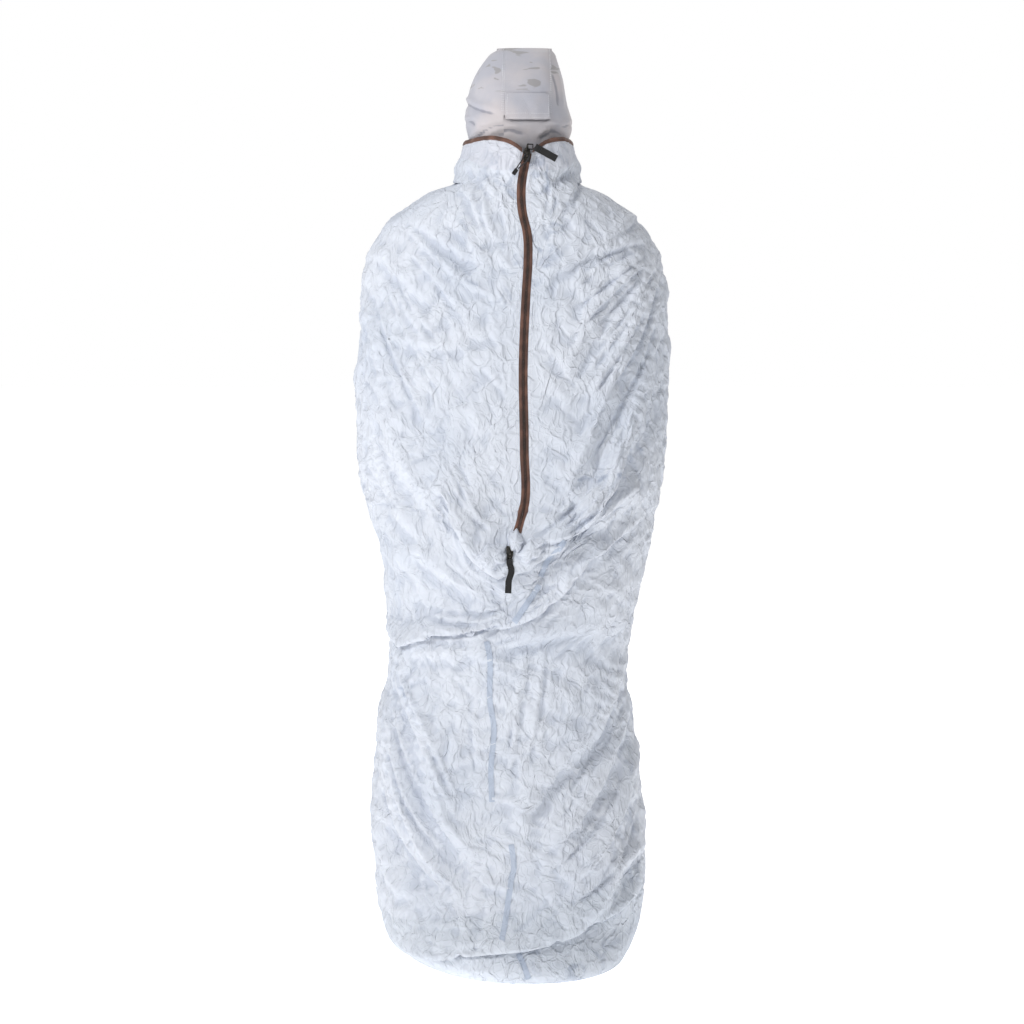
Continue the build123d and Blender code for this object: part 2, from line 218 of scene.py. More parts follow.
def suit_rows(angle):
    """Height and outward offset of every mesh row, top to bottom, with the layers folded."""
    layers = [
        ("collar", COLLAR_FOLD, fold_rows(0.036, 0.020, 0.009, 0.006)),
        ("pouch", POUCH_EDGE, fold_rows(0.110, 0.034, 0.030, 0.024)),
        ("swag", SWAG_EDGE, fold_rows(0.050, 0.050, 0.022, 0.020)),
        ("hem", HEM_EDGE, fold_rows(0.060, 0.018, 0.020, 0.014)),
    ]
    heights, offsets, marks = [], [], {}
    last_z = along_edge(COLLAR_EDGE, 1, angle)
    for name, edge, path in layers:
        edge_z = along_edge(edge, 1, angle)
        strength = ease(along_edge(edge, 2, angle))
        start_z = edge_z - path[0, 0]
        count = max(2, round(float(np.mean(last_z - start_z)) / STEP))
        for step in range(count):
            heights.append(last_z + (start_z - last_z) * step / count)
            offsets.append(0 * angle)
        length = float(np.hypot(*np.diff(path, axis=0).T).sum())
        folded = resample(path, max(6, round(length / (0.85 * STEP))))
        straight = np.linspace(path[0, 0], path[-1, 0], len(folded))
        # the layers meet where the tuck is deepest
        marks[name] = len(heights) + int(np.argmin(folded[:, 0] + 9 * (folded[:, 1] > 0)))
        for (down, out), flat in zip(folded, straight):
            heights.append(edge_z - (flat + (down - flat) * strength))
            offsets.append(out * strength)
        last_z = edge_z - path[-1, 0]
        heights.pop()
        offsets.pop()
    for step in range(4):
        heights.append(last_z + (0.0015 - last_z) * step / 3)
        offsets.append(0 * angle)
    return np.array(heights), np.array(offsets), marks


# Folds drawn on the front (-1) and the back (1): side, line of (x, height), width and rise
FOLDS = [
    # right shoulder and arm
    (-1, [(0.276, 1.443), (0.167, 1.425), (0.099, 1.395), (0.062, 1.371), (0.037, 1.343)], 0.016, 0.009),
    (-1, [(0.262, 1.425), (0.167, 1.323), (0.120, 1.240), (0.090, 1.180)], 0.024, 0.008),
    (-1, [(0.272, 1.440), (0.216, 1.266), (0.148, 1.080), (0.075, 0.935)], 0.030, 0.014),
    (-1, [(0.295, 1.380), (0.262, 1.264), (0.222, 1.095), (0.130, 0.940)], 0.030, 0.012),
    (-1, [(0.248, 1.494), (0.205, 1.462), (0.167, 1.436)], 0.012, 0.005),
    # left shoulder and arm
    (-1, [(-0.262, 1.425), (-0.200, 1.365), (-0.150, 1.315)], 0.018, 0.006),
    (-1, [(-0.180, 1.475), (-0.110, 1.425), (-0.050, 1.392)], 0.016, 0.006),
    (-1, [(-0.112, 1.478), (-0.070, 1.425), (-0.038, 1.385)], 0.014, 0.005),
    (-1, [(-0.235, 1.258), (-0.150, 1.242), (-0.075, 1.245)], 0.016, 0.005),
    (-1, [(-0.278, 1.345), (-0.252, 1.225), (-0.228, 1.085), (-0.180, 0.985), (-0.120, 0.905)], 0.034,
     0.014),
    (-1, [(-0.285, 1.180), (-0.268, 1.050), (-0.215, 0.930), (-0.160, 0.860)], 0.022, 0.009),
    # waist and pouch
    (-1, [(-0.190, 0.868), (-0.118, 0.804), (-0.036, 0.762)], 0.022, 0.009),
    (-1, [(-0.235, 0.640), (-0.151, 0.648), (-0.081, 0.657), (-0.004, 0.672), (0.063, 0.692),
     (0.171, 0.715)], 0.020, 0.009),
    (-1, [(-0.105, 0.752), (-0.030, 0.742), (0.030, 0.760)], 0.013, 0.005),
    (-1, [(-0.110, 0.722), (-0.030, 0.720), (0.050, 0.745)], 0.012, 0.004),
    (-1, [(0.125, 0.905), (0.190, 0.945), (0.250, 0.985)], 0.046, 0.016),
    # skirt and hem
    (-1, [(-0.238, 0.640), (-0.172, 0.499), (-0.136, 0.345), (-0.108, 0.290), (-0.043, 0.226)], 0.032,
     0.016),
    (-1, [(-0.262, 0.560), (-0.235, 0.400), (-0.190, 0.270), (-0.110, 0.170)], 0.036, 0.012),
    (-1, [(0.227, 0.645), (0.164, 0.502), (0.094, 0.430), (0.035, 0.375), (-0.018, 0.245)], 0.032, 0.015),
    (-1, [(0.232, 0.560), (0.190, 0.430), (0.130, 0.330), (0.070, 0.250)], 0.030, 0.011),
    (-1, [(0.250, 0.440), (0.226, 0.340), (0.170, 0.235), (0.100, 0.165)], 0.030, 0.010),
    (-1, [(-0.066, 0.196), (-0.020, 0.190), (0.020, 0.196)], 0.012, 0.006),
    (-1, [(0.277, 0.232), (0.218, 0.209), (0.175, 0.150), (0.094, 0.100)], 0.024, 0.013),
    (-1, [(-0.270, 0.330), (-0.262, 0.230), (-0.225, 0.130)], 0.028, 0.009),
    # collar
    (-1, [(-0.108, 1.558), (-0.080, 1.522), (-0.048, 1.470)], 0.012, 0.005),
    (-1, [(-0.085, 1.590), (-0.050, 1.548), (-0.020, 1.500)], 0.010, 0.003),
    (-1, [(0.130, 1.556), (0.104, 1.520), (0.078, 1.478)], 0.012, 0.005),
    (-1, [(0.118, 1.590), (0.085, 1.556), (0.050, 1.535)], 0.009, 0.003),
    # back
    (1, [(-0.200, 1.440), (-0.120, 1.330), (-0.060, 1.180)], 0.026, 0.009),
    (1, [(0.210, 1.440), (0.130, 1.320), (0.050, 1.150)], 0.026, 0.010),
    (1, [(-0.240, 1.250), (-0.190, 1.020), (-0.110, 0.840)], 0.032, 0.012),
    (1, [(0.250, 1.260), (0.190, 1.010), (0.090, 0.830)], 0.032, 0.012),
    (1, [(-0.220, 0.830), (-0.060, 0.770), (0.090, 0.780), (0.220, 0.860)], 0.026, 0.014),
    (1, [(-0.220, 0.680), (-0.040, 0.630), (0.200, 0.720)], 0.024, 0.011),
    (1, [(-0.230, 0.600), (-0.140, 0.420), (-0.070, 0.220)], 0.032, 0.013),
    (1, [(0.220, 0.620), (0.120, 0.430), (0.060, 0.230)], 0.032, 0.013),
    (1, [(-0.240, 0.150), (-0.060, 0.090), (0.220, 0.140)], 0.022, 0.010),
]


# Fans of thin creases: side, first and last line of (x, height), how many, width and rise
FANS = [
    # shoulders and chest
    (-1, [(0.272, 1.446), (0.170, 1.420), (0.040, 1.335)], [(0.285, 1.350), (0.235, 1.170),
     (0.110, 0.960)], 11, 0.006, 0.004),
    (-1, [(-0.200, 1.470), (-0.120, 1.420), (-0.020, 1.330)], [(-0.285, 1.330), (-0.255, 1.150),
     (-0.150, 0.920)], 10, 0.006, 0.0036),
    (-1, [(-0.100, 1.545), (-0.070, 1.480), (-0.030, 1.400)], [(-0.020, 1.530), (-0.012, 1.470),
     (0.000, 1.410)], 5, 0.005, 0.0026),
    (-1, [(0.125, 1.545), (0.095, 1.490), (0.060, 1.440)], [(0.050, 1.540), (0.046, 1.480),
     (0.044, 1.430)], 4, 0.005, 0.0026),
    # pouch and waist
    (-1, [(0.030, 0.884), (0.100, 0.940), (0.170, 1.060)], [(0.035, 0.865), (0.130, 0.885),
     (0.240, 0.960)], 7, 0.006, 0.0045),
    (-1, [(-0.010, 0.895), (-0.060, 0.940), (-0.110, 1.050)], [(-0.050, 0.850), (-0.130, 0.900),
     (-0.200, 0.980)], 5, 0.006, 0.0036),
    (-1, [(-0.230, 0.760), (-0.060, 0.745), (0.120, 0.830)], [(-0.230, 0.665), (-0.050, 0.690),
     (0.180, 0.830)], 6, 0.006, 0.004),
    # skirt and hem
    (-1, [(-0.230, 0.630), (-0.150, 0.450), (-0.050, 0.240)], [(-0.270, 0.420), (-0.210, 0.250),
     (-0.090, 0.130)], 8, 0.007, 0.004),
    (-1, [(0.220, 0.640), (0.120, 0.450), (0.000, 0.280)], [(0.260, 0.300), (0.180, 0.190),
     (0.060, 0.120)], 9, 0.007, 0.0042),
    (-1, [(-0.070, 0.640), (-0.062, 0.500), (-0.058, 0.330)], [(0.090, 0.690), (0.060, 0.520),
     (0.010, 0.320)], 5, 0.006, 0.0034),
    (-1, [(-0.240, 0.110), (-0.100, 0.120), (0.020, 0.125)], [(-0.200, 0.040), (0.000, 0.050),
     (0.220, 0.080)], 4, 0.006, 0.0034),
    # back
    (1, [(-0.250, 1.420), (-0.120, 1.250), (-0.020, 1.050)], [(-0.290, 1.200), (-0.200, 1.000),
     (-0.050, 0.860)], 8, 0.007, 0.004),
    (1, [(0.260, 1.420), (0.130, 1.250), (0.030, 1.050)], [(0.290, 1.200), (0.200, 1.000),
     (0.060, 0.860)], 8, 0.007, 0.004),
    (1, [(-0.240, 0.780), (0.000, 0.740), (0.230, 0.800)], [(-0.220, 0.690), (0.000, 0.660),
     (0.220, 0.720)], 5, 0.006, 0.004),
    (1, [(-0.230, 0.600), (-0.130, 0.420), (-0.030, 0.230)], [(-0.260, 0.380), (-0.180, 0.240),
     (-0.060, 0.120)], 7, 0.007, 0.004),
    (1, [(0.220, 0.600), (0.130, 0.420), (0.020, 0.230)], [(0.250, 0.380), (0.180, 0.240),
     (0.060, 0.120)], 7, 0.007, 0.004),
]


def fan_rise(points):
    """Outward push of all the fans of thin creases."""
    rise = np.zeros(points.shape[:2])
    uneven = np.random.default_rng(12)
    for side, first, last, count, width, height in FANS:
        for part in (np.arange(count) + 0.5) / count:
            part = part + uneven.normal(0, 0.25 / count)
            route = np.array(first) * (1 - part) + np.array(last) * part
            route[1:-1] += uneven.normal(0, 0.010, route[1:-1].shape)
            start, end = uneven.uniform(0, 0.25), uneven.uniform(0.75, 1)
            route = smooth_route(route, 13)[int(12 * start):int(12 * end) + 1]
            low, high = route.min(axis=0) - 4 * width, route.max(axis=0) + 4 * width
            x, z = points[..., 0], points[..., 2]
            beside = (x > low[0]) & (x < high[0]) & (z > low[1]) & (z < high[1])
            near = beside & (points[..., 1] * side > 0)
            height_here = 1.5 * height * uneven.uniform(0.4, 1.2)
            rise[near] += fold_rise(x[near], z[near], route, width, height_here)
    return rise


def smooth_route(points, count):
    """A smooth curve through given points in the plane."""
    table = np.array([(number, *point) for number, point in enumerate(points)], dtype=float)
    return smooth_table(table, np.linspace(0, len(points) - 1, count))


def fold_rise(x, z, route, width, rise):
    """Outward push of one drawn fold: a crisp crest with a soft hollow on its lower side."""
    line = smooth_route(route, 28)
    gap = np.stack([x, z], axis=-1)[..., None, :] - line
    distance = np.hypot(gap[..., 0], gap[..., 1])
    nearest = distance.argmin(axis=-1)
    along = nearest / (len(line) - 1)
    tangent = np.gradient(line, axis=0)
    tangent /= np.hypot(*tangent.T)[:, None]
    offset = np.take_along_axis(gap, nearest[..., None, None], axis=-2)[..., 0, :]
    aside = tangent[nearest, 0] * offset[..., 1] - tangent[nearest, 1] * offset[..., 0]
    down_side = np.where(tangent[nearest, 0] >= 0, -aside, aside)
    t = distance.min(axis=-1) / width
    crest = np.exp(-1.4 * t) * (t < 4)
    hollow = np.exp(-((down_side / width - 1.3) / 0.7) ** 2) * (t < 3)
    fade = ease(along / 0.22) * ease((1 - along) / 0.22)
    return rise * fade * (crest - 0.75 * hollow)


def drawn_rise(folds, x, y, z):
    """Outward push of a list of drawn folds."""
    rise = np.zeros_like(x)
    for side, route, width, height in folds:
        rise += fold_rise(x, z, route, width, height) * (y * side > -0.02)
    return rise


def rough_field(shape):
    """Small even unevenness that lets the cloth buckle everywhere."""
    field = np.random.default_rng(4).normal(0, 1, shape)
    for _ in range(2):
        field = (field + np.roll(field, 1, 0) + np.roll(field, -1, 0)
                 + np.roll(field, 1, 1) + np.roll(field, -1, 1)) / 5
    return field


def suit_points():
    """Every mesh point of the suit, by row and column, before the cloth is let go."""
    angle = -math.pi / 2 + math.tau * np.arange(COLUMNS + 1) / COLUMNS
    heights, offsets, marks = suit_rows(angle)
    angles = np.broadcast_to(angle, heights.shape)
    x, y, out_x, out_y = standing_point(angles, heights)
    rise = FOLD_DEPTH * drawn_rise(FOLDS, x, y, heights) + ROUGHNESS * rough_field(heights.shape)
    part = np.abs(((np.arange(COLUMNS + 1) + COLUMNS / 2) % COLUMNS) - COLUMNS / 2)
    rise = rise * ease(part / 5) + offsets
    rise *= ease(heights / 0.05)
    points = np.stack([x + out_x * rise, y + out_y * rise, heights], axis=-1)
    # open the front for the zip
    side = np.where(np.arange(COLUMNS + 1) < COLUMNS / 2, 1, -1)
    opened = np.exp(-part / 3.0) * side * ZIP_HALF
    above = ease((heights[:, 0] - ZIP_END_Z) / 0.02)
    points[..., 0] += opened * above[:, None]
    # close the foot with a sole
    centre = points[-1, :-1].mean(axis=0)
    sole = [centre + (points[-1] - centre) * share for share in (0.86, 0.6, 0.3, 0.03)]
    marks["floor"] = len(points) - 1
    return np.concatenate([points, np.array(sole)]), marks


def grid_mesh(name, points, gather_row):
    """One mesh of the whole suit: open at the zip above the gather, closed below and under the foot."""
    rows, columns = points.shape[:2]

    def vertex(row, column):
        """Number of a point; below the gather the last column is the first one again."""
        joined = column == columns - 1 and row > gather_row
        return row * columns + (0 if joined else column)

    return new_piece(name, points, grid_faces(rows, columns, vertex))


def select_only(item):
    """Make one object the selected and active one."""
    bpy.ops.object.select_all(action="DESELECT")
    item.select_set(True)
    bpy.context.view_layer.objects.active = item


def settle(item, pins):
    """Let a mesh crumple as cloth that is a little too long for where it is held."""
    group = item.vertex_groups.new(name="held")
    for level in np.unique(pins):
        group.add(np.flatnonzero(pins == level).tolist(), float(level), "REPLACE")
    cloth = item.modifiers.new("Cloth", "CLOTH")
    choices = {"quality": 4, "mass": 0.15, "tension_stiffness": 40, "compression_stiffness": 40,
               "shear_stiffness": 8, "bending_stiffness": 2.0, "air_damping": 3,
               "vertex_group_mass": "held", "pin_stiffness": 1.0, "shrink_min": -GROWTH}
    for name, value in choices.items():
        setattr(cloth.settings, name, value)
    cloth.settings.effector_weights.gravity = 0.1
    scene = bpy.context.scene
    scene.frame_start = 1
    scene.frame_end = FRAMES
    cloth.point_cache.frame_start = 1
    cloth.point_cache.frame_end = FRAMES
    for number in range(1, FRAMES + 1):
        scene.frame_set(number)
    select_only(item)
    bpy.ops.object.modifier_apply(modifier="Cloth")
    item.vertex_groups.clear()
    scene.frame_set(1)


def settled_suit():
    """The suit's points by row and column once the cloth has settled, and its marked rows."""
    points, marks = suit_points()
    marks["gather"] = int(np.argmax(points[:, 0, 2] < ZIP_END_Z + 0.004))
    item = grid_mesh("settling", points, marks["gather"])
    held = np.full(points.shape[:2], HOLD)
    for mark in ("collar", "pouch", "swag", "hem"):
        edge = slice(marks[mark] - 2, marks[mark] + 5)
        held[edge] = LAYER_HOLD
    held[:2] = 1.0
    held[marks["floor"] - 3:] = 1.0
    held[:marks["gather"] + 3, :3] = 1.0
    held[:marks["gather"] + 3, -3:] = 1.0
    settle(item, held.ravel())
    settled = np.empty(points.size)
    item.data.vertices.foreach_get("co", settled)
    points = settled.reshape(points.shape)
    points[marks["gather"] + 1:, -1] = points[marks["gather"] + 1:, 0]
    bpy.data.objects.remove(item)
    return points, marks


def doubled(grid, axis, closed):
    """A grid with a smooth new line between every two along one axis."""
    grid = np.moveaxis(grid, axis, 0)
    before = grid[-2:-1] if closed else 2 * grid[:1] - grid[1:2]
    after = grid[1:2] if closed else 2 * grid[-1:] - grid[-2:-1]
    wide = np.concatenate([before, grid, after])
    finer = np.empty((2 * len(grid) - 1, *grid.shape[1:]))
    finer[0::2] = grid
    finer[1::2] = (9 * (wide[1:-2] + wide[2:-1]) - wide[:-3] - wide[3:]) / 16
    return np.moveaxis(finer, 0, axis)


def outward(points):
    """Outward direction at every point of a grid."""
    normal = np.cross(np.gradient(points, axis=0), np.gradient(points, axis=1))
    return normal / np.maximum(np.linalg.norm(normal, axis=-1, keepdims=True), 1e-9)


def streaks(shape, long, short, slant, seed):
    """Smooth random field drawn out along a slant; long and short are in mesh steps."""
    field = np.random.default_rng(seed).normal(0, 1, shape)
    down = np.fft.fftfreq(shape[0])[:, None]
    round_way = np.fft.rfftfreq(shape[1])[None, :]
    along = down * math.cos(slant) + round_way * math.sin(slant)
    aside = round_way * math.cos(slant) - down * math.sin(slant)
    keep = np.exp(-20 * ((along * long) ** 2 + (aside * short) ** 2))
    field = np.fft.irfft2(np.fft.rfft2(field) * keep, shape)
    return field / field.std()


def creases(shape, long, short, seed):
    """Thin sharp ridges on an even ground, slanting down towards the front centre."""
    column = np.arange(shape[1]) / (shape[1] - 1) * math.tau
    right = 0.5 + 0.5 * np.clip(2.2 * np.sin(column), -1, 1)
    rising = np.abs(streaks(shape, long, short, -0.75, seed))
    falling = np.abs(streaks(shape, long, short, 0.75, seed + 1))
    return np.exp(-3.6 * rising) * right + np.exp(-3.6 * falling) * (1 - right)


def blurred(grid, reach):
    """Running mean over a square of mesh points."""
    for axis in (0, 1):
        for step in reach:
            ends = [np.take(grid, [end] * step, axis) for end in (0, -1)]
            wide = np.concatenate([ends[0], grid, ends[1]], axis)
            before = np.take(wide, range(grid.shape[axis]), axis)
            after = np.take(wide, range(2 * step, 2 * step + grid.shape[axis]), axis)
            grid = (before + grid + after) / 3
    return grid


def inward(grid, reach):
    """How far every point of a grid lies behind the mean of its neighbours."""
    return ((blurred(grid, reach) - grid) * outward(grid)).sum(axis=-1)


def crumpled(points, size):
    """The suit's grid twice as fine, with fine creases, and how deep in a hollow every point lies."""
    points = doubled(doubled(points, 0, False), 1, True)
    shape = points.shape[:2]
    patchy = 0.55 + 0.45 * np.clip(streaks(shape, 22, 22, 0, 9) + 0.3, 0, 1.6)
    rise = size * (0.9 * creases(shape, 24, 5.5, 21) + 0.5 * creases(shape, 11, 3.4, 31)) * patchy
    rise += fan_rise(points)
    # flat beside the zip and at the floor
    edge = np.minimum(np.arange(shape[1]), np.arange(shape[1])[::-1])
    rise *= ease(edge / 8)
    rise *= ease(points[..., 2] / 0.05)
    points = points + outward(points) * rise[..., None]
    # how deep each point lies in a hollow, which the materials paint as shade
    hollow = inward(points, (1, 2, 3)) / 0.0030 + inward(points, (3, 5, 8)) / 0.05
    return points, np.clip(0.5 + 0.5 * hollow, 0, 1)


def cloth_piece(name, points, hollow, material, thick, body="suit"):
    """One sheet of cloth from a grid of points, with its thickness on the inner side."""
    rows, columns = points.shape[:2]
    item = new_piece(name, points, grid_faces(rows, columns, lambda r, c: r * columns + c))
    if hollow is None:
        hollow = np.full((rows, columns), 0.5)
    # depth in a hollow, kept for the materials' painted shade; 0.5 gives none
    attribute = item.data.attributes.new("hollow", "FLOAT", "POINT")
    attribute.data.foreach_set("value", np.ascontiguousarray(hollow, dtype=np.float32).ravel())
    shell = item.modifiers.new("Thickness", "SOLIDIFY")
    shell.thickness = thick
    shell.offset = -1
    select_only(item)
    bpy.ops.object.modifier_apply(modifier="Thickness")
    bpy.ops.object.shade_smooth_by_angle(angle=math.radians(62))
    item.data.materials.append(material)
    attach(item, body)
    return item


def declare_sheet(item, node, flat):
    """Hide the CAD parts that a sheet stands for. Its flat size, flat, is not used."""
    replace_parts(item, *node)


# Panels: name, top and bottom row, first and last column in quarters round from the front, flat size, slot
PANELS = [
    ("collar_right", 0, "collar", 0, 1, (0.16, 0.055), "collar_cloth"),
    ("collar_back", 0, "collar", 1, 3, (0.33, 0.052), "collar_cloth"),
    ("collar_left", 0, "collar", 3, 4, (0.16, 0.055), "collar_cloth"),
    ("upper_front_right", "collar", "pouch", 0, 1, (0.35, 0.72), "suit_cloth"),
    ("upper_back", "collar", "pouch", 1, 3, (0.64, 0.72), "suit_cloth"),
    ("upper_front_left", "collar", "pouch", 3, 4, (0.38, 0.72), "suit_cloth"),
    ("waist_front", "pouch", "swag", -1, 1, (0.82, 0.34), "suit_cloth"),
    ("waist_back", "pouch", "swag", 1, 3, (0.82, 0.34), "suit_cloth"),
    ("skirt_front_right", "swag", "hem", 0, 1, (0.48, 0.72), "suit_cloth"),
    ("skirt_back", "swag", "hem", 1, 3, (0.82, 0.74), "suit_cloth"),
    ("skirt_front_left", "swag", "hem", 3, 4, (0.41, 0.70), "suit_cloth"),
    ("foot_front", "hem", "floor", -1, 1, (0.95, 0.17), "foot_cloth"),
    ("foot_back", "hem", "floor", 1, 3, (0.88, 0.16), "foot_cloth"),
]


def build_panels(points, hollow, marks, cloths):
    """Cut the crumpled suit into its panels and sole."""
    quarter = (points.shape[1] - 1) // 4
    for name, top, bottom, first, last, flat, slot in PANELS:
        rows = slice(2 * marks[top] if top else 0, 2 * marks[bottom] + 1)
        columns = list(range(max(first, 0) * quarter, last * quarter + 1))
        if first < 0:
            columns = list(range(3 * quarter, 4 * quarter)) + columns
        panel = cloth_piece("cloth_" + name, points[rows][:, columns], hollow[rows][:, columns],
                            cloths[slot], CLOTH_THICK)
        declare_sheet(panel, [name], flat)
    rows = slice(2 * marks["floor"], len(points))
    sole = cloth_piece("cloth_foot_base", points[rows], hollow[rows], cloths["foot_cloth"], CLOTH_THICK)
    declare_sheet(sole, ["foot_base"], (0.50, 0.50))


# ---- things that lie on the cloth ------------------------------------------------------------------

def surface_tree(points):
    """Tree for finding where the front of a grid is."""
    rows, columns = points.shape[:2]
    faces = grid_faces(rows, columns + 1, lambda r, c: r * columns + c % columns)
    return BVHTree.FromPolygons(points.reshape(-1, 3).tolist(), faces)


def front_of(tree, x, z, lift):
    """Point a little in front of the cloth at x and z, seen from the front."""
    hit, normal, _, _ = tree.ray_cast(Vector((x, -1, z)), Vector((0, 1, 0)))
    if normal.y > 0:
        normal.negate()
    return hit + normal * lift


def seam_tape(name, tree, route, material):
    """A flat tape that follows the cloth along a given route of (x, height) points."""
    line = smooth_route(route, 14 * (len(route) - 1) + 1)
    across = np.gradient(line, axis=0)
    across /= np.hypot(*across.T)[:, None]
    rows = []
    half_width = 0.0065
    for (x, z), (dx, dz) in zip(line, across):
        widths = np.linspace(-half_width, half_width, 7)
        rows.append([front_of(tree, x - dz * w, z + dx * w, 0.0011) for w in widths])
    points = blurred(np.array(rows), (1, 1))
    if outward(points)[..., 1].mean() > 0:
        points = points[:, ::-1]
    tape = cloth_piece(name, points, None, material, 0.0004)
    return tape


SEAM_TAPES = [
    ("tape_waist_upper", "seam_tape_waist", [(0.100, 0.880), (0.084, 0.858), (0.068, 0.837), (0.054, 0.803)]),
    ("tape_waist_lower", "seam_tape_waist", [(0.052, 0.790), (0.040, 0.769), (0.020, 0.740), (0.004, 0.716)]),
    ("tape_skirt", "seam_tape_skirt", [(-0.049, 0.676), (-0.042, 0.634), (-0.043, 0.556), (-0.035, 0.496),
                                       (-0.041, 0.420), (-0.039, 0.350)]),
    ("tape_hem_upper", "seam_tape_hem", [(-0.002, 0.270), (0.004, 0.226), (-0.002, 0.195), (-0.012, 0.127),
                                         (-0.020, 0.090)]),
    ("tape_hem_lower", "seam_tape_hem", [(0.012, 0.062), (0.024, 0.040), (0.033, 0.016)]),
]


def stitches(name, path, material, body="suit", pitch=0.0042, length=0.0030, thick=0.00045):
    """A row of sewn stitches along a path of points, as one piece."""
    path = np.array(path)
    places = distances(path)
    vertices, faces = [], []
    for start in np.arange(0, places[-1] - length, pitch):
        ends = [along_path(start + part * length, places, path) for part in (0, 0.5, 1)]
        along = ends[2] - ends[0]
        side = np.cross(along, (0.0, 1.0, 0.2))
        side *= thick / max(np.linalg.norm(side), 1e-9)
        up = np.cross(along, side)
        up *= thick / max(np.linalg.norm(up), 1e-9)
        first = len(vertices)
        vertices += [ends[0], ends[2], ends[1] + side, ends[1] + up, ends[1] - side, ends[1] - up]
        for turn in range(4):
            here, there = first + 2 + turn, first + 2 + (turn + 1) % 4
            faces += [(first, here, there), (first + 1, there, here)]
    item = new_piece(name, vertices, faces)
    turn_outward(item.data)
    item.data.materials.append(material)
    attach(item, body)
    return item


def turn_outward(mesh):
    """Make every face of a mesh of closed pieces look outward."""
    shape = bmesh.new()
    shape.from_mesh(mesh)
    bmesh.ops.recalc_face_normals(shape, faces=shape.faces)
    shape.to_mesh(mesh)
    shape.free()


# ---- zip ---------------------------------------------------------------------------------------------

def zip_edges(points, marks):
    """Middle line of the zip from the collar down to the gather, and its across and outward directions."""
    last = 2 * marks["gather"] + 1
    right, left = points[:last, 0], points[:last, -1]
    middle = blurred(((left + right) / 2)[:, None], (2, 3))[:, 0]
    across = np.array([1.0, 0.0, 0.0])
    down = np.gradient(middle, axis=0)
    out = np.cross(down, across)
    out /= np.linalg.norm(out, axis=1)[:, None]
    return middle, across, out


def build_zip(points, marks, tape_material, coil_material, thread):
    """Tapes, coil teeth and topstitching of the front zip."""
    middle, across, out = zip_edges(points, marks)
    below = int(np.argmax(middle[:, 2] < ZIP_START_Z))
    middle, out = middle[below:], out[below:]
    profile = [(0.0007, -0.0004), (0.0022, 0.0002), (0.0046, 0.0004), (0.0076, 0.0001), (0.0115, -0.0022)]
    for side, word in ((-1, "left"), (1, "right")):
        strip = np.stack([middle + across * side * w + out * rise for w, rise in profile[::side]], axis=1)
        tape = cloth_piece("brown_tape_" + word, strip, None, tape_material, TAPE_THICK)
        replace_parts(tape, "zip_tape_" + word)
        coil = coil_teeth("coil_teeth_" + word, middle, across * side, out, coil_material)
        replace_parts(coil, "zip_coil_" + word)
        sewn = slice(below, 2 * marks["gather"] - 6)
        for number, away in enumerate((0.0125, 0.0165)):
            edge = points[sewn, 0 if side > 0 else -1] + across * side * (away - ZIP_HALF)
            inner = points[sewn, 1 + number if side > 0 else -2 - number]
            row = np.stack([edge[:, 0], inner[:, 1] - 0.0006, edge[:, 2]], axis=1)
            stitches(f"zip_topstitch_{word}_{number + 1}", row, thread)


def coil_teeth(name, middle, across, out, material):
    """Slanting turns of a nylon coil down one side of the zip."""
    pitch, reach = 0.0016, 0.0032
    down = np.array([0.0, 0.0, -1.0])
    places = distances(middle)
    vertices, faces = [], []
    for start in np.arange(0.0, places[-1] - pitch, pitch):
        centre, up = along_path(start, places, middle), along_path(start, places, out)
        first = len(vertices)
        for reach_part, lift, slip in ((0.0, 0.0010, 0.0), (0.5, 0.0015, 0.0002), (1.0, 0.0006, 0.0004)):
            spot = centre + across * (reach * reach_part - 0.0002) + up * lift + down * slip
            vertices += [spot + down * 0.0006, spot + up * 0.0005, spot - down * 0.0006, spot - up * 0.0010]
        for ring in range(2):
            for turn in range(4):
                a, b = first + 4 * ring + turn, first + 4 * ring + (turn + 1) % 4
                faces.append((a, b, b + 4, a + 4))
        faces += [tuple(first + k for k in (3, 2, 1, 0)), tuple(first + 8 + k for k in range(4))]
    item = new_piece(name, vertices, faces)
    turn_outward(item.data)
    item.data.materials.append(material)
    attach(item, "suit")
    return item


def collar_tapes(points, material, thread):
    """Brown zip tape left open along the top edge of the collar, each side of the zip."""
    quarter = (points.shape[1] - 1) // 4
    profile = [(-0.0028, -0.0012), (-0.0034, 0.0008), (0.0004, 0.0019), (0.0042, 0.0017), (0.0052, 0.0004)]
    sides = (("right", range(0, quarter - 8), 1), ("left", range(-1, -quarter + 8, -1), -1))
    for word, columns, side in sides:
        columns = list(columns)
        edge = blurred(points[:1, columns].transpose(1, 0, 2), (2, 2))[:, 0]
        down = points[3, columns] - edge
        down /= np.linalg.norm(down, axis=1)[:, None]
        out = outward(points[:6])[2, columns]
        strip = np.stack([edge + down * along + out * rise for along, rise in profile], axis=0)
        tape = cloth_piece("collar_edge_" + word, strip[:, ::side], None, material, TAPE_THICK)
        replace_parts(tape, "collar_tape_" + word)
        stitches("collar_stitch_" + word, edge + down * 0.0075 + out * 0.0008, thread)


# ---- hood --------------------------------------------------------------------------------------------

